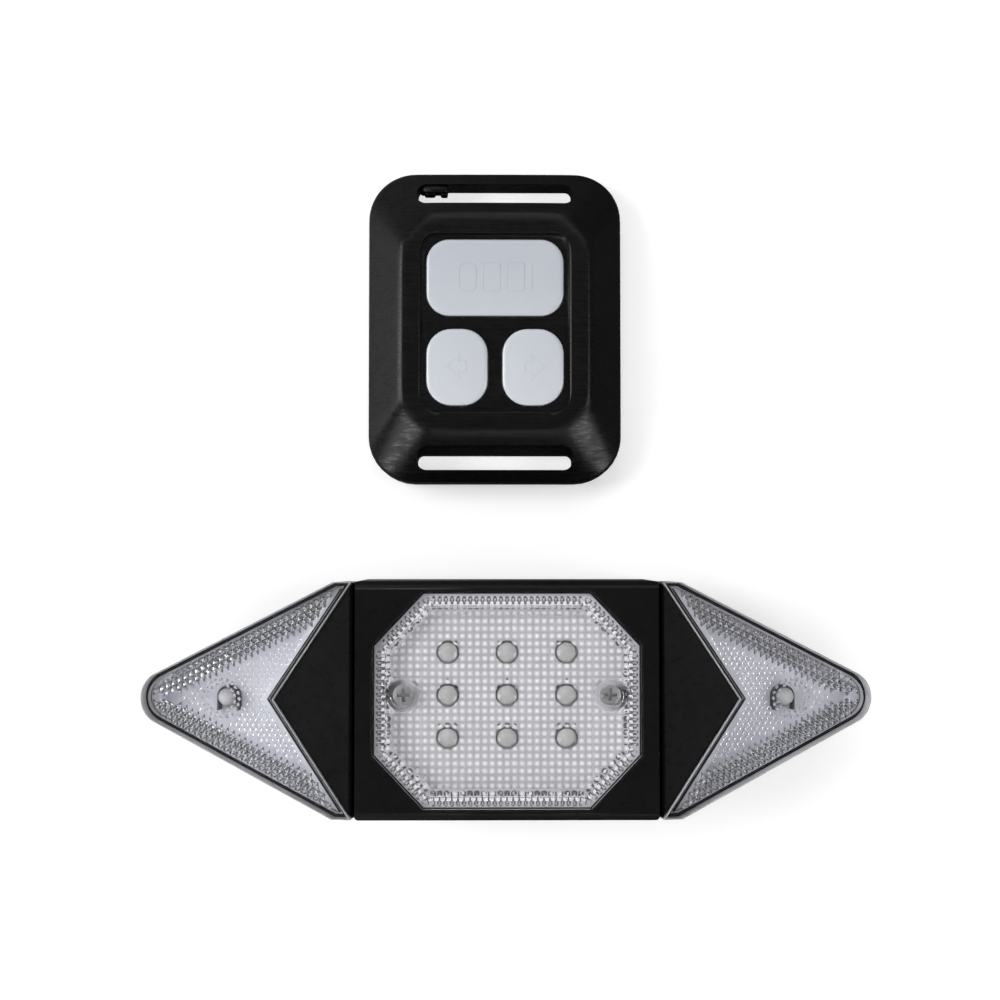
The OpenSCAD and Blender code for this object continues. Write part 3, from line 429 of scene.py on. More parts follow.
CLEAR_TINT, CLEAR_GLOSS = (0.985, 0.985, 0.995), (0.0, 0.03)
MOULDED = {
    "housing_black": ((0.0048, 0.0048, 0.0054), (0.0066, 0.0066, 0.0074), (0.25, 0.36), 5200, 0.00003, 0.13),
    "bezel_black": ((0.004, 0.004, 0.004), (0.0056, 0.0056, 0.0056), (0.26, 0.37), 5200, 0.00002, 0.13),
    "reflector_pale": ((0.72, 0.72, 0.73), (0.78, 0.78, 0.79), (0.25, 0.4), 3000, 0.00002),
    "black_rubber": ((0.006, 0.006, 0.006), (0.01, 0.01, 0.01), (0.6, 0.75), 7000, 0.00004, 0.25),
    "board_green": ((0.01, 0.09, 0.035), (0.02, 0.13, 0.05), (0.3, 0.45), 2600, 0.00003),
    "switch_black": ((0.012, 0.012, 0.013), (0.02, 0.02, 0.022), (0.4, 0.5), 4000, 0.00002),
}
METALS = {
    "bright_steel": ((0.74, 0.74, 0.76), (0.84, 0.84, 0.86), (0.3, 0.45)),
    "pouch_foil": ((0.6, 0.61, 0.63), (0.7, 0.71, 0.73), (0.35, 0.5)),
    "contact_brass": ((0.66, 0.48, 0.2), (0.74, 0.56, 0.26), (0.2, 0.35)),
}
FINISH = {
    "remote_black": rubbed("remote_black", (0.0022, 0.0022, 0.0025), (0.0034, 0.0034, 0.0038), (0.24, 0.34), 0.21),
    "clear_lens": clear_plastic("clear_lens", CLEAR_TINT, CLEAR_GLOSS),
    "led_clear": milky("led_clear", (0.4, 0.4, 0.385), (0.47, 0.47, 0.455)),
    "key_grey": key_plastic("key_grey", (0.5, 0.525, 0.575), (0.6, 0.625, 0.67), (0.16, 0.24)),
}
FINISH.update({name: moulded(name, *look) for name, look in MOULDED.items()})
FINISH.update({name: metal(name, *look) for name, look in METALS.items()})

# Finishes of scene pieces and of the few nodes that have a shade of their own
EDGE_FROST = moulded("edge_frost", (0.38, 0.38, 0.385), (0.46, 0.46, 0.47), (0.3, 0.45), 4200, 0.00003, 0.4)
WING_PALE = moulded("wing_pale", (0.5, 0.505, 0.545), (0.55, 0.555, 0.595), (0.3, 0.45), 3000, 0.00002, 0.3)
WING_LED = milky("wing_led", (0.36, 0.36, 0.36), (0.43, 0.43, 0.43))
# Grey of the LED collars: painted shade for the gap round each LED.
COLLAR_SHADE_GREY = moulded("collar_grey", (0.21, 0.21, 0.215), (0.26, 0.26, 0.265), (0.4, 0.5), 4000, 0.00002)
# Grey of the bars between the lens ribs: painted shade.
RIB_SHADE_GREY = moulded("rib_shade_grey", (0.085, 0.085, 0.088), (0.12, 0.12, 0.124), (0.4, 0.5), 4000, 0.00002, 0.3)
SCREW_GREY = metal("screw_grey", (0.4, 0.4, 0.41), (0.5, 0.5, 0.51), (0.3, 0.45))
PILLOW_SHADE_LENS = pillow_shade_plastic("lens_pillow_shade", CLEAR_TINT, CLEAR_GLOSS)


def finish_nodes():
    """Gives every CAD node the finish named by its own packed material; a few nodes have a shade of their own."""
    own = {"lens_screws": SCREW_GREY}
    for word in ("left", "right"):
        own[word + "_wing_reflector"], own[word + "_wing_led"] = WING_PALE, WING_LED
    for name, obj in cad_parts.items():
        for holder in obj.material_slots:
            base = holder.material.name.split(".")[0] if holder.material else ""
            if base in FINISH and holder.material is not FINISH[base]:
                holder.material = own.get(name, FINISH[base])


finish_nodes()


# Lens optics

def fade(value, start, stop):
    """A soft step: 0 at the start, 1 at the stop, and 3 t squared - 2 t cubed between them."""
    t = np.clip((value - start) / (stop - start), 0, 1)
    return t * t * (3 - 2 * t)


LED_PLACES = np.array([[i * LED_PITCH_X, j * LED_PITCH_Y + ARRAY_UP] for i in (-1, 0, 1) for j in (-1, 0, 1)])
SCREW_PLACES = np.array([[-SCREW_X, ARRAY_UP], [SCREW_X, ARRAY_UP]])


def lens_half_width(y):
    """Half width of the lens's optics at a height above its middle."""
    ring = octagon(OPTIC_INSET)
    return np.interp(np.abs(y), ring[[1, 2], 1], ring[[1, 2], 0])


def optic_depth(x, y):
    """Depth of the pattern inside the lens.

    Pillows are a product of raised cosines, with a plain line inside the upper and lower border and a shallow dome,
    1 - t squared, over each LED.
    """
    spots = np.stack([x.ravel(), y.ravel()], -1)
    wave_x = (1 + np.cos(2 * math.pi * x / PILLOW_PITCH)) / 2
    wave_y = (1 + np.cos(2 * math.pi * (y - ARRAY_UP) / PILLOW_PITCH)) / 2
    depth = PILLOW_DEPTH * wave_x * wave_y
    high = LENS_H / 2 - np.abs(y)
    depth *= 1 - fade(high, 3.7, 3.9) * (1 - fade(high, 4.2, 4.4))
    gap = np.linalg.norm(spots[:, None, :] - LED_PLACES[None], axis=-1).min(axis=1).reshape(x.shape)
    depth *= fade(gap, WINDOW_R, WINDOW_R + 0.8)
    return depth + PILLOW_DEPTH * np.clip(1 - (gap / WINDOW_R) ** 2, 0, 1)


def optic_sheet(left, right, low, high, step=OPTIC_STEP):
    """One sheet of optics: rows from low to high, each spread from its left to its right end.

    The sheet hangs by the pattern's depth, and a rim and a flat top close it.
    """
    top = LENS_INNER_Z - AIR_FILM
    y = np.arange(low, high + step / 2, step)[:, None]
    starts, ends = left(y), right(y)
    cols = int(np.max(ends - starts) / step) + 1
    u = np.linspace(0, 1, cols)[None]
    x = starts + u * (ends - starts)
    rows = len(y)
    y = np.broadcast_to(y, x.shape)
    rim = np.minimum(np.minimum(x - starts, ends - x), np.minimum(y - y.min(), y.max() - y))
    z = top - OPTIC_BACK - optic_depth(x, y) * fade(rim, 0.0, 0.25)
    skin = np.stack([x, y + LAMP_Y, z], -1).reshape(-1, 3)
    index = np.arange(rows * cols).reshape(rows, cols)
    border = np.concatenate([index[0, :-1], index[:-1, -1], index[-1, :0:-1], index[:0:-1, 0]])
    lid = skin[border].copy()
    lid[:, 2] = top
    i = np.arange(len(border))
    j = (i + 1) % len(border)
    wall = np.stack([border[i], border[j], rows * cols + j, rows * cols + i], -1)
    return np.concatenate([skin, lid]), [quads(rows, cols, False)[:, ::-1], wall, (rows * cols + i)[None]]


def well_sheet(side):
    """Optics round one screw well: rings from the well's circle out to the neighbouring sheets, with a flat top."""
    top = LENS_INNER_Z - AIR_FILM
    a = np.linspace(0, 2 * math.pi, 120, endpoint=False)
    out = np.stack([np.cos(a), np.sin(a)], -1)
    inner = WELL_R + 0.1
    far = SCREW_X - MIDDLE_REACH - SEAM
    limit = np.where(out[:, 0] * side < 0, far, inner + 0.06) / np.maximum(np.abs(out[:, 0]), 1e-6)
    outer = np.maximum(np.minimum(limit, (WELL_R + 0.21) / np.maximum(np.abs(out[:, 1]), 1e-6)), inner + 0.05)
    rings = []
    for t in np.linspace(0, 1, 8):
        x, y = (SCREW_PLACES[0 if side < 0 else 1] + out * (inner + t * (outer - inner))[:, None]).T
        depth = optic_depth(x, y) * fade(np.float64(min(t, 1 - t)), 0.0, 0.2)
        rings.append(np.stack([x, y + LAMP_Y, top - OPTIC_BACK - depth], -1))
    lids = [rings[-1].copy(), rings[0].copy()]
    for lid in lids:
        lid[:, 2] = top
    points, faces = swept_round(rings + lids)
    return points, flipped(faces)


def centre_optics():
    """The inside of the centre lens: pillows between, above and below the screw wells, and a ring round each well."""
    end = MIDDLE_REACH + SEAM
    ring = octagon(OPTIC_INSET)
    top = float(ring[2, 1])
    over, under = ARRAY_UP + WELL_R + 0.25, ARRAY_UP - WELL_R - 0.25
    reach = float(np.interp(-end - 0.6, -ring[[1, 2], 0], ring[[1, 2], 1]))
    wide = lambda y: np.minimum(lens_half_width(y), MIDDLE_REACH)
    sheets = [optic_sheet(lambda y: -wide(y), wide, -top, top)]
    for low, high in ((over, reach), (-reach, under)):
        sheets.append(optic_sheet(lambda y: np.full_like(y, end), lens_half_width, low, high))
        sheets.append(optic_sheet(lambda y: -lens_half_width(y), lambda y: np.full_like(y, -end), low, high))
    points, faces = joined(sheets + [well_sheet(-1), well_sheet(1)])
    return piece("center_lens_optics", points, faces, PILLOW_SHADE_LENS, "lamp", True)


centre_optics()


def collar(inner, outer, low, high, count=32):
    """A short tube as four rings joined round: inner and outer radius at its foot and at its top."""
    a = np.linspace(0, 2 * math.pi, count, endpoint=False)
    return swept_round([circle(r, z, a) for r, z in ((inner, low), (outer, low), (outer, high), (inner, high))])


def led_collars():
    """A grey collar round every centre LED, standing on the pale plate: the lip of the LED's well, its grey painted
    shade for the gap round the LED.
    """
    points, faces = collar(COLLAR_INNER, COLLAR_OUTER, REFLECTOR_TOP_Z + LIFT, REFLECTOR_TOP_Z + COLLAR_H)
    points, faces = repeated(points, faces, level(LED_PLACES + [0, LAMP_Y], 0))
    return piece("center_led_collars", points, faces, COLLAR_SHADE_GREY, "lamp", True)


led_collars()


def slab(corners, low, high):
    """An upright prism between two heights over a flat outline."""
    return lofted([level(corners, low), level(corners, high)])


def bevel_rib_shade():
    """Painted shade between the ribs of the lens bevel: narrow tapered grey bars square to every side, in step with the
    ribs.
    """
    outer = octagon(LENS_STEP)
    solids = []
    for a, b in zip(outer, np.roll(outer, -1, axis=0)):
        side = (b - a) / np.linalg.norm(b - a)
        inward = np.array([-side[1], side[0]])
        count = round(float(np.linalg.norm(b - a)) / RIB_PITCH)
        spots = a + (np.arange(count)[:, None] + 0.5) / count * (b - a)
        spots = spots[(np.arange(count) > 0) & (np.arange(count) < count - 1)]
        start, end = inward * RIB_SHADE_START, inward * RIB_SHADE_END
        thin, thick = side * RIB_SHADE_NARROW, side * RIB_SHADE_WIDE
        corners = np.array([start - thin, start + thin, end + thick, end - thick])
        bar = slab(corners, LENS_BOTTOM_Z + LIFT, LENS_BOTTOM_Z + RIB_SHADE_TOP)
        solids.append(repeated(*bar, level(spots + [0, LAMP_Y], 0)))
    points, faces = joined(solids)
    return piece("center_lens_rib_shade", points, faces, RIB_SHADE_GREY, "lamp")


bevel_rib_shade()


# Wing optics

def dart_ring(edge, notch, u):
    """The dart's outline at a height u, counter-clockwise, with its long edges and its notch edges moved inwards."""
    half = ROOT_HALF - edge
    apex = WING_TIP_S + (WING_TIP_R - edge) / math.sin(WING_ANGLE)
    start = NOTCH_S + notch / math.sin(NOTCH_ANGLE)
    root = start - half / math.tan(NOTCH_ANGLE)
    corner = apex - half / math.tan(WING_ANGLE)
    meet = WING_ANGLE + WING_TIP_KINK
    arc = (WING_TIP_R - edge) * math.cos(WING_ANGLE) / math.cos(meet)
    middle = WING_TIP_S + (WING_TIP_R - edge) * math.sin(WING_ANGLE) - arc * math.sin(meet)
    turn = np.linspace(math.pi / 2 - meet, meet - math.pi / 2, 25)
    tip = np.stack([middle + arc * np.cos(turn), arc * np.sin(turn)], -1)
    ring = np.vstack([[[start, 0], [root, half], [corner, half]], tip, [[corner, -half], [root, -half]]])[::-1]
    return level(ring, u)


def prism(side_length, depth, flip):
    """A three-sided pyramid hung from a flat triangle, with its point under the triangle's middle."""
    a = np.radians(np.array([90, 210, 330]) + (180 if flip else 0))
    r = side_length / math.sqrt(3)
    base = np.stack([-r * np.sin(a), r * np.cos(a), np.zeros(3)], -1)
    points = np.vstack([base, [[0, 0, -depth]]])
    return points, [np.array([[0, 1, 2], [1, 0, 3], [2, 1, 3], [0, 2, 3]])]


def pearls():
    """Shallow domes hung from a dart's flat inside: offset rows between the prism bands, clear of the LED."""
    j, i = np.meshgrid(np.arange(-20, 21), np.arange(40), indexing="ij")
    s = WING_LED_S + (i - 20 + (j % 2) / 2) * PEARL_PITCH
    spots = np.stack([s.ravel(), j.ravel() * PEARL_PITCH * math.sqrt(3) / 2], -1)
    away = np.hypot(spots[:, 0] - WING_LED_S, spots[:, 1]) > LED_CLEAR
    spots = spots[in_dart(spots, PRISM_INSET) & away & (from_long_edge(spots) > PRISM_BAND + PEARL_GAP)]
    a = np.arange(10) * math.pi / 5
    return repeated(*lofted([circle(r, z, a) for r, z in PEARL]), level(spots, WING_INNER_U - AIR_FILM))


def in_prism_field(spots, inset):
    """True where a dart carries prisms: an even band along each long edge, clear of the LED and of the other band."""
    s, t = spots[:, 0], np.abs(spots[:, 1])
    edge = from_long_edge(spots)
    beside = (edge > inset - 0.35) & (s < WING_TIP_S - 1.5) & (from_notch(spots) > inset) & (t < ROOT_HALF - inset)
    away = np.hypot(s - WING_LED_S, t) > LED_CLEAR
    return (in_dart(spots, inset) | beside) & away & (t > 0.6 * PRISM_PITCH) & (edge < PRISM_BAND)


def prism_rows(side, flip):
    """Prisms in rows along one long edge of a dart, from its wall inwards: upright and turned ones fill each row."""
    row = PRISM_PITCH * math.sqrt(3) / 2
    k, j = np.meshgrid(np.arange(12), np.arange(50), indexing="ij")
    inwards = WING_RIM + 0.06 + (k + (1 / 3 if flip else 2 / 3)) * row
    along = (j + (k % 2) / 2 + (0.5 if flip else 0.0)) * PRISM_PITCH
    apex = WING_TIP_S + WING_TIP_R / math.sin(WING_ANGLE)
    across = np.array([-math.sin(WING_ANGLE), -side * math.cos(WING_ANGLE)])
    s = apex - along * math.cos(WING_ANGLE) + inwards * across[0]
    t = side * along * math.sin(WING_ANGLE) + inwards * across[1]
    spots = np.stack([s.ravel(), t.ravel()], -1)
    spots = spots[(side * spots[:, 1] > 0) & in_prism_field(spots, PRISM_INSET)]
    points, faces = prism(PRISM_PITCH * 0.97, TURNED_DEPTH if flip else PRISM_DEPTH, flip)
    turned = points[:, :1] * across + points[:, 1:2] * [-across[1], across[0]]
    points = np.column_stack([turned, points[:, 2]])
    return repeated(points, faces, level(spots, WING_INNER_U - AIR_FILM))


def wing_optics(side, name):
    """The inside of a clear dart: two bands of prisms, pearls between, and two rows of cones round the LED."""
    solids = [prism_rows(half, flip) for half in (-1, 1) for flip in (False, True)] + [pearls()]
    a = np.arange(8) * math.pi / 4
    cone = lofted([circle(r, z, a) for r, z in CONE])
    for radius, count in CONE_ROWS:
        row = circle(radius, WING_INNER_U - AIR_FILM, np.arange(count) * 2 * math.pi / count)
        solids.append(repeated(*cone, row + [WING_LED_S, 0, 0]))
    points, faces = joined(solids)
    faces = flipped(faces) if side < 0 else faces
    return piece(name, wing_to_set(points, side), faces, FINISH["clear_lens"], "lamp")


def arch(radius, leg, thick, low, high):
    """An arch open at its foot: four-cornered rings lofted along a straight leg, a half circle and another leg."""
    a = np.linspace(0, math.pi, 21)
    path = np.vstack([[[radius, -leg]], np.stack([radius * np.cos(a), radius * np.sin(a)], -1), [[-radius, -leg]]])
    out = np.vstack([[[1, 0]], np.stack([np.cos(a), np.sin(a)], -1), [[-1, 0]]])
    near, far = path - out * thick / 2, path + out * thick / 2
    return lofted(np.stack([level(near, low), level(far, low), level(far, high), level(near, high)], 1))


def wing_shade_arch(side, name):
    """A dark arch round a wing's LED, standing on the floor of its tray and open towards the lamp's foot: painted shade
    for the dark outline the LED shows.
    """
    points, faces = arch(ARCH_R, ARCH_LEG, ARCH_WALL, WING_TRAY_U + LIFT, WING_TRAY_U + ARCH_H)
    points = wing_to_set(points + [WING_LED_S, 0, 0], side)
    faces = flipped(faces) if side > 0 else faces
    return piece(name, points, faces, FINISH["switch_black"], "lamp", True)


def wing_band(side, name, profile, material):
    """A closed band along a dart's wall, from its inner to its outer side.

    The profile gives each side's inset from the long edges and from the notch, and then the band's top and foot.
    """
    inner, outer, top, foot = profile
    steps = ((*inner, top), (*inner, foot), (*outer, foot), (*outer, top))
    points, faces = swept_round([dart_ring(*step) for step in steps])
    faces = flipped(faces) if side < 0 else faces
    return piece(name, wing_to_set(points, side), faces, material, "lamp")


FROST = ((0.14, 0.14), (0.06, 0.06), WING_TOP_U - 0.1, WING_FOOT_U + 0.1)
SEAL = ((0.68, 1.05), (0.5, 0.3), WING_FOOT_U + 0.08, WING_FOOT_U + 0.02)

for side, word in ((-1, "left"), (1, "right")):
    wing_optics(side, word + "_wing_optics")
    wing_shade_arch(side, word + "_wing_led_shade_arch")
    wing_band(side, word + "_wing_frosted_wall", FROST, EDGE_FROST)
    wing_band(side, word + "_wing_seal", SEAL, FINISH["black_rubber"])


# Keys

SHOULDER, SHOULDER_H, KEY_SKIRT, CROWN = 0.9, 0.4, 0.15, 0.2
KEY_FLANGE, ICON_RISE, ICON_WIDTH = 0.75, 0.05, 0.42

# Width, corner radius, middle and body of each key
KEYS = {
    "mode_key": (MODE_W, 4.2, (0.0, KEY_ROW), "mode_push"),
    "left_key": (ARROW_W, 4.6, (-ARROW_X, -KEY_ROW), "left_push"),
    "right_key": (ARROW_W, 4.6, (ARROW_X, -KEY_ROW), "right_push"),
}


def crown_z(x, y, w, h):
    """Height of a key's top: the shoulder's height and a crown that falls off as 1 - t squared to its edge."""
    t = np.maximum(np.abs(x) / (w / 2 - KEY_SKIRT - SHOULDER), np.abs(y) / (h / 2 - KEY_SKIRT - SHOULDER))
    return KEY_TOP_Z - CROWN + CROWN * (1 - np.clip(t, 0, 1) ** 2)


def key_skin(w, h, r, middle):
    """A key as rings of its outline: flange, skirt, rounded shoulder, then a crown that rises as 1 - t squared."""
    foot = KEY_TOP_Z - CROWN - SHOULDER_H
    profile = [(-KEY_FLANGE, KEY_FOOT_Z), (-KEY_FLANGE, KEY_FLANGE_Z), (KEY_SKIRT, KEY_FLANGE_Z), (KEY_SKIRT, foot)]
    a = np.linspace(0, math.pi / 2, 9)[1:]
    profile += [(KEY_SKIRT + SHOULDER * (1 - math.cos(t)), foot + SHOULDER_H * math.sin(t)) for t in a]
    rings = [level(rounded_ring(w - 2 * inset, h - 2 * inset, r - inset, 10), z) for inset, z in profile]
    last = rings[-1]
    for t in np.linspace(1, 0.04, 9)[1:]:
        ring = last * [t, t, 1]
        ring[:, 2] += CROWN * (1 - t ** 2)
        rings.append(ring)
    points, faces = lofted(rings)
    return points + [REMOTE_X + middle[0], REMOTE_Y + middle[1], 0], faces


def raised_line(path, width, key, closed):
    """A low ridge along a flat path on a key: the path set off to both sides, sunk in the key and over its top."""
    path = np.asarray(path, float)
    after = np.roll(path, -1, axis=0) - path
    before = path - np.roll(path, 1, axis=0)
    if not closed:
        after[-1], before[0] = before[-1], after[0]
    unit = [d / np.linalg.norm(d, axis=1, keepdims=True) for d in (before, after)]
    normal = [np.stack([-d[:, 1], d[:, 0]], -1) for d in unit]
    mid = normal[0] + normal[1]
    mid /= np.linalg.norm(mid, axis=1, keepdims=True)
    mid /= np.sum(mid * normal[0], axis=1, keepdims=True)
    w, _, middle, _ = KEYS[key]
    rings = []
    for offset, lift in ((0.5, -0.15), (-0.5, -0.15), (-0.32, ICON_RISE), (0.32, ICON_RISE)):
        ring = path + mid * offset * width
        rings.append(np.column_stack([ring, crown_z(ring[:, 0], ring[:, 1], w, KEY_H) + lift]))
    if closed:
        points, faces = swept_round(rings)
    else:
        points, faces = lofted(np.stack(rings, 1))
        faces = flipped(faces)
    return points + [REMOTE_X + middle[0], REMOTE_Y + middle[1], 0], faces


for node, (w, r, middle, body) in KEYS.items():
    points, faces = key_skin(w, KEY_H, r, middle)
    cap = piece(node + "_cap", points, faces, FINISH["key_grey"], body, True)
    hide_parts(node)

# Lines of each key's icon, and whether they are closed: three bars with a stroke, and two arrows
BAR_ICONS = [(rounded_ring(3.0, 5.0, r, 5) + [x, 0], True) for x, r in ((-5.0, 1.1), (-0.7, 0.4), (3.6, 0.4))]
ARROW_ICON = np.array([[-1.5, 0.9], [-1.5, -0.9], [-0.2, -0.9], [-0.2, -2.0], [1.9, 0.0], [-0.2, 2.0], [-0.2, 0.9]])
ICONS = {
    "mode_key": BAR_ICONS + [([[6.5, -2.2], [6.5, 2.2]], False)],
    "left_key": [(ARROW_ICON[::-1] * [-1, 1], True)],
    "right_key": [(ARROW_ICON, True)],
}

for node, lines in ICONS.items():
    points, faces = joined([raised_line(path, ICON_WIDTH, node, closed) for path, closed in lines])
    piece(node + "_icon", points, faces, FINISH["key_grey"], KEYS[node][3])


# Softened shells

def merged(node):
    """A copy of a CAD node's mesh with shared corners joined and flat neighbours made one face."""
    bm = bmesh.new()
    bm.from_mesh(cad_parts[node].data)
    bmesh.ops.remove_doubles(bm, verts=bm.verts, dist=MERGE * MM)
    bmesh.ops.dissolve_limit(bm, angle_limit=FLAT, verts=bm.verts, edges=bm.edges)
    mesh = bpy.data.meshes.new(node + "_soft")
    bm.to_mesh(mesh)
    angle = np.array([e.calc_face_angle_signed(0) for e in bm.edges])
    bm.free()
    return mesh, angle


def edge_ends(mesh):
    """The two end points of every edge, in millimetres."""
    co = np.empty(3 * len(mesh.vertices), np.float32)
    mesh.vertices.foreach_get("co", co)
    ends = np.empty(2 * len(mesh.edges), np.int32)
    mesh.edges.foreach_get("vertices", ends)
    return co.reshape(-1, 3)[ends.reshape(-1, 2)].transpose(1, 0, 2) / MM


def worked_out(obj):
    """The object's mesh with its modifiers carried out."""
    return bpy.data.meshes.new_from_object(obj.evaluated_get(bpy.context.evaluated_depsgraph_get()))


def stand_in(node, mesh, body, slot):
    """Puts a finished copy of a CAD node in the node's place."""
    mesh.materials.clear()
    mesh.materials.append(FINISH[slot])
    obj = bpy.data.objects.new(node + "_soft", mesh)
    bpy.context.scene.collection.objects.link(obj)
    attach(obj, body)
    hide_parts(node)


def soft_edges(node, body, slot, width, chosen):
    """A node with its chosen outward edges rounded to a width: three faces along each, and flat faces kept flat."""
    mesh, angle = merged(node)
    a, b = edge_ends(mesh)
    share = np.where(chosen(a, b) & (angle > SHARP), 1.0, 0.0)
    mesh.attributes.new("bevel_weight_edge", "FLOAT", "EDGE").data.foreach_set("value", share.astype(np.float32))
    rough = bpy.data.objects.new(node + "_rough", mesh)
    bpy.context.scene.collection.objects.link(rough)
    soft = rough.modifiers.new("soft_edges", "BEVEL")
    soft.width = width * MM
    soft.segments = 3
    soft.limit_method = "WEIGHT"
    soft.use_clamp_overlap = False
    done = worked_out(rough)
    bpy.data.objects.remove(rough)
    area = np.empty(len(done.polygons), np.float32)
    done.polygons.foreach_get("area", area)
    done.set_sharp_from_angle(angle=SHARP_STRIP)
    done.polygons.foreach_set("use_smooth", area < STRIP * MM * MM)
    stand_in(node, done, body, slot)


def upright(a, b):
    """True for edges that stand straight up."""
    return np.hypot(*(a - b)[:, :2].T) < TOUCH


def at_height(a, b, z):
    """True for edges that lie at one height."""
    return (np.abs(a[:, 2] - z) < TOUCH) & (np.abs(b[:, 2] - z) < TOUCH)


def tub_edges(a, b):
    """The tub's standing corners and the rim of its foot."""
    wall = [(np.abs(p[:, 1] - LAMP_Y) > LAMP_HALF_L - 0.1) | (np.abs(p[:, 0]) > CREASE_X - 0.1) for p in (a, b)]
    centre = (np.abs(a[:, 0]) < CREASE_X + 0.1) & (np.abs(b[:, 0]) < CREASE_X + 0.1)
    return wall[0] & wall[1] & centre & (at_height(a, b, 0) | upright(a, b))


def bezel_edges(a, b):
    """The bezel's top edges and its standing corners."""
    return at_height(a, b, BEZEL_TOP_Z) | (upright(a, b) & (np.abs(a[:, 0]) > CREASE_X - 0.2))


def foot_edges(a, b):
    """The rim of the remote's foot."""
    mid = np.abs((a + b) / 2 - [REMOTE_X, REMOTE_Y, 0])
    rim = (mid[:, 0] > REMOTE_W / 2 - 0.5) | (mid[:, 1] > REMOTE_L / 2 - 0.5)
    return at_height(a, b, 0) & (rim | (mid[:, 0] + mid[:, 1] > FOOT_CORNER))


def soft_height(x, y):
    """Height of the remote's outside with soft edges.

    In every direction round the remote one sloped plane joins the band's outline to the plateau's, so the sloped
    outside is the least of all those planes. The least is taken softly, as -k log of the sum of exp(-h / k), over the
    planes first and then against the flat plateau, which rounds the creases and the plateau's edge.
    """
    turn = np.arange(SLOPES) * 2 * math.pi / SLOPES
    c, s = np.cos(turn), np.sin(turn)
    low = (REMOTE_W / 2 - REMOTE_R) * np.abs(c) + (REMOTE_L / 2 - REMOTE_R) * np.abs(s) + REMOTE_R
    w, l = PLATEAU_W / 2 - PLATEAU_SOFT, PLATEAU_L / 2 - PLATEAU_SOFT
    high = PLATEAU_SOFT + np.maximum(
        w * np.abs(c) + (l - PLATEAU_CUT) * np.abs(s), (w - PLATEAU_CUT) * np.abs(c) + l * np.abs(s))
    out = x[..., None] * c + y[..., None] * s
    planes = BAND_TOP_Z + (REMOTE_TOP_Z - BAND_TOP_Z) * (low - out) / (low - high)
    least = planes.min(-1, keepdims=True)
    slope = least[..., 0] - CREASE_SOFT * np.log(np.exp((least - planes) / CREASE_SOFT).sum(-1))
    return slope - PLATEAU_EDGE * np.logaddexp(0, (slope - REMOTE_TOP_Z) / PLATEAU_EDGE)


def soft_remote():
    """The remote's shell with its sloped outside softened: the CAD shell cut to a soft hull a hair inside its own.

    The hull is rings of the band's outline drawn in towards the middle, each point at the soft height, with a small
    round where the slope meets the band, and the band itself carried down past the shell's foot.
    """
    outline = rounded_ring(REMOTE_W - 2 * HAIR, REMOTE_L - 2 * HAIR, REMOTE_R - HAIR, 24)
    closed = np.concatenate([outline, outline[:1]])
    along = np.concatenate([[0], np.cumsum(np.linalg.norm(np.diff(closed, axis=0), axis=1))])
    spots = np.linspace(0, along[-1], 361)[:-1]
    outline = np.stack([np.interp(spots, along, closed[:, i]) for i in (0, 1)], -1)
    draw = np.concatenate([[1, 1], np.linspace(0.995, 0.6, 60), np.linspace(0.57, 0.02, 8)])
    rings = draw[:, None, None] * outline[None]
    z = soft_height(rings[..., 0], rings[..., 1]) - HAIR
    near = np.clip(1 - (1 - draw[:, None]) * np.linalg.norm(outline, axis=1) / BAND_SOFT, 0, 1)
    z -= BAND_SOFT * (1 - np.sqrt(1 - near ** 2))
    z[0] = BAND_FOOT_Z - 1
    rings = np.concatenate([rings, z[..., None]], -1) + [REMOTE_X, REMOTE_Y, 0]
    hull = bpy.data.objects.new("soft_hull", mesh_from("soft_hull", *lofted(list(rings))))
    shell = bpy.data.objects.new("rough_shell", merged("remote_top_shell")[0])
    for obj in (hull, shell):
        bpy.context.scene.collection.objects.link(obj)
    cut = shell.modifiers.new("soft_outside", "BOOLEAN")
    cut.operation = "INTERSECT"
    cut.solver = "EXACT"
    cut.object = hull
    done = worked_out(shell)
    bpy.data.objects.remove(shell)
    bpy.data.objects.remove(hull)
    done.polygons.foreach_set("use_smooth", np.ones(len(done.polygons), bool))
    done.set_sharp_from_angle(angle=SHARP)
    stand_in("remote_top_shell", done, "remote", "remote_black")


soft_edges("rear_housing", "lamp", "housing_black", TUB_SOFT, tub_edges)
soft_edges("front_bezel", "lamp", "bezel_black", BEZEL_SOFT, bezel_edges)
soft_edges("remote_base", "remote", "remote_black", FOOT_SOFT, foot_edges)
soft_remote()


# Across, along, width, depth, foot and top of the hook's bar and teeth, from the remote's middle
HOOK = [(-11.1, 25.4, 5.0, 1.6, 4.1, 6.4), (-11.9, 24.75, 2.0, 1.1, 4.2, 6.1), (-9.3, 24.7, 1.3, 1.1, 4.2, 5.8)]
HOOK_R = 0.35


def slot_hook():
    """The strap's catch at the left end of the upper slot: a bar and two teeth, each lofted from rounded rings."""
    solids = []
    for x, y, w, h, low, high in HOOK:
        rings = []
        for inset, z in ((0.12, low), (0.0, low + 0.15), (0.0, high - 0.25), (0.2, high)):
            ring = rounded_ring(w - 2 * inset, h - 2 * inset, HOOK_R - inset / 2, 5)
            rings.append(level(ring + [REMOTE_X + x, REMOTE_Y + y], z))
        solids.append(lofted(rings))
    points, faces = joined(solids)
    piece("strap_slot_hook", points, faces, FINISH["remote_black"], "remote", True)


slot_hook()


# Studio

FLOOR_HALF, FLOOR_Z = 3000.0, -0.05
# Near and far white of the floor, and painted light added under the remote
FLOOR_WHITE, UNDER_REMOTE_PAINTED_LIGHT = (0.37, 1.0), 0.3

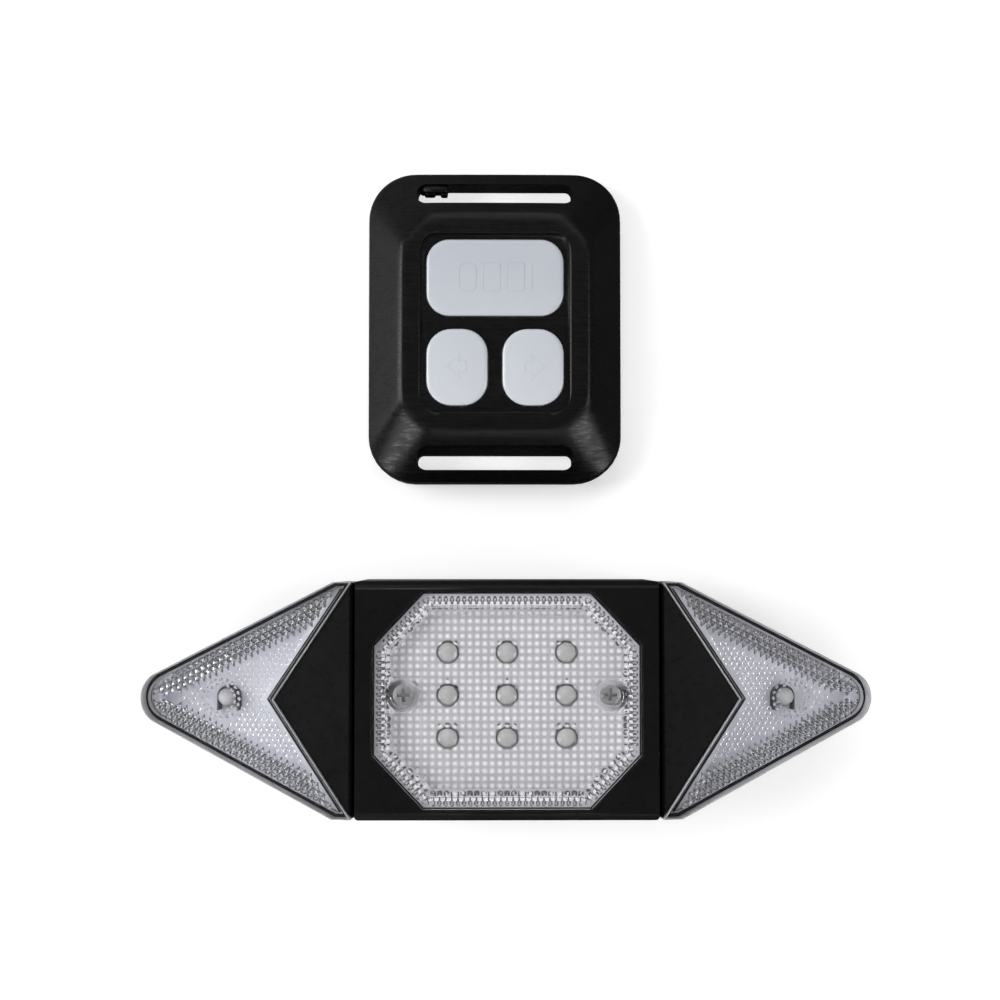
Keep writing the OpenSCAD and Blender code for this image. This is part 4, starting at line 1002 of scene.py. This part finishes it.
# Place, size and power of each soft panel
PANELS = {
    "panel_left": ((-0.6, 0.12, 0.42), 0.42, 3.3),
    "panel_back": ((0.05, 0.58, 0.55), 0.66, 1.6),
    "panel_front": ((0.1, -0.58, 0.55), 0.6, 1.1),
    "panel_right": ((0.62, -0.05, 0.52), 0.3, 1.5),
    "panel_left_low": ((-0.6, 0.06, 0.1), 0.18, 0.6),
    "panel_low_left": ((-0.443, -0.361, 0.239), 0.14, 0.7),
    "panel_low_right": ((0.448, -0.359, 0.234), 0.14, 0.7),
}
CAMERA_AT, CAMERA_AIM = (-3.69, -12.56, 278.75), (-1.21, -3.03, 22.0)


def floor_finish():
    """Pale floor: white far out for the eye and through clear plastic, with painted light under the remote that lifts
    its shadow to white; dim in reflections, less so on the left, a painted reflection.
    """
    mat, tree, shader, coord = nodes_of("studio_floor")
    pale = blended(tree, noise(tree, coord, 6), (0.86, 0.86, 0.86), (0.88, 0.88, 0.88))
    tree.links.new(pale, shader.inputs["Base Color"])
    shader.inputs["Roughness"].default_value = 0.9
    shader.inputs["Specular IOR Level"].default_value = 0.1
    shader.inputs["Emission Color"].default_value = (1, 1, 1, 1)
    path = tree.nodes.new("ShaderNodeLightPath")
    x, y = split_xyz(tree, coord)
    squares = worked(tree, "ADD", worked(tree, "MULTIPLY", x, x), worked(tree, "MULTIPLY", y, y))
    far = ranged(tree, worked(tree, "SQRT", squares), 0.15, 0.5, *FLOOR_WHITE)
    # Painted light under the remote: the floor there is lifted to white, which clears the remote's shadow where the
    # strap slots show the floor.
    beside = []
    for at, middle, start, stop in ((x, REMOTE_X, 15, 22), (y, REMOTE_Y, 26.4, 28.4)):
        off = worked(tree, "ABSOLUTE", worked(tree, "SUBTRACT", at, middle * MM))
        beside.append(ranged(tree, off, start * MM, stop * MM, 1.0, 0.0))
    under = worked(tree, "MULTIPLY", worked(tree, "MULTIPLY", *beside), UNDER_REMOTE_PAINTED_LIGHT)
    seen = worked(tree, "MAXIMUM", path.outputs["Is Camera Ray"], path.outputs["Is Transmission Ray"])
    white = worked(tree, "MULTIPLY", worked(tree, "ADD", far, under), seen)
    tree.links.new(white, shader.inputs["Emission Strength"])
    # Painted reflection: in reflections the floor is dimmed, less on the left than on the right, so the remote's left
    # slopes mirror a paler floor.
    dim = tree.nodes.new("ShaderNodeBsdfDiffuse")
    dim.inputs["Color"].default_value = (0.06, 0.06, 0.06, 1)
    mix = tree.nodes.new("ShaderNodeMixShader")
    mirrored = worked(tree, "MULTIPLY", path.outputs["Is Glossy Ray"], ranged(tree, x, -0.05, 0.0, 0.3, 0.92))
    tree.links.new(mirrored, mix.inputs["Fac"])
    tree.links.new(shader.outputs["BSDF"], mix.inputs[1])
    tree.links.new(dim.outputs["BSDF"], mix.inputs[2])
    tree.links.new(mix.outputs["Shader"], tree.nodes["Material Output"].inputs["Surface"])
    return mat


def studio_floor():
    """One large flat square just under the set."""
    corners = np.array([[-1, -1], [1, -1], [1, 1], [-1, 1]]) * FLOOR_HALF
    mesh = mesh_from("studio_floor", level(corners, FLOOR_Z), [np.array([[0, 1, 2, 3]])])
    mesh.materials.append(floor_finish())
    floor = bpy.data.objects.new("studio_floor", mesh)
    bpy.context.scene.collection.objects.link(floor)


def studio_world():
    """White for the eye; as light, brighter from the left than from the right."""
    world = bpy.data.worlds.new("studio_world")
    bpy.context.scene.world = world
    world.use_nodes = True
    tree = world.node_tree
    back = tree.nodes["Background"]
    path = tree.nodes.new("ShaderNodeLightPath")
    x, _ = split_xyz(tree, tree.nodes.new("ShaderNodeTexCoord").outputs["Generated"])
    shown = worked(tree, "MAXIMUM", ranged(tree, x, -0.8, 0.8, 0.3, 0.1), path.outputs["Is Camera Ray"])
    tree.links.new(shown, back.inputs["Strength"])
    back.inputs["Color"].default_value = (1, 1, 1, 1)


def studio_panels():
    """Square soft panels that face the set."""
    for name, (place, size, power) in PANELS.items():
        lamp = bpy.data.lights.new(name, "AREA")
        lamp.shape = "SQUARE"
        lamp.size = size
        lamp.energy = power
        obj = bpy.data.objects.new(name, lamp)
        obj.location = place
        obj.rotation_euler = (Vector((0, 0, 0.01)) - Vector(place)).to_track_quat("-Z", "Y").to_euler()
        bpy.context.scene.collection.objects.link(obj)


def photo_camera():
    """The camera at the photograph's view, with the set's length upright in the picture."""
    cam = bpy.data.cameras.new("photo_camera")
    cam.sensor_width = 36
    cam.lens = 54
    cam.clip_start = 0.01
    eye = bpy.data.objects.new("photo_camera", cam)
    place, aim = Vector(CAMERA_AT) * MM, Vector(CAMERA_AIM) * MM
    back_axis = (place - aim).normalized()
    right = Vector((0, 1, 0)).cross(back_axis).normalized()
    up = back_axis.cross(right)
    eye.matrix_world = Matrix.Translation(place) @ Matrix((right, up, back_axis)).transposed().to_4x4()
    bpy.context.scene.collection.objects.link(eye)
    bpy.context.scene.camera = eye


bpy.context.scene.view_settings.view_transform = "Standard"
studio_floor()
studio_world()
studio_panels()
photo_camera()
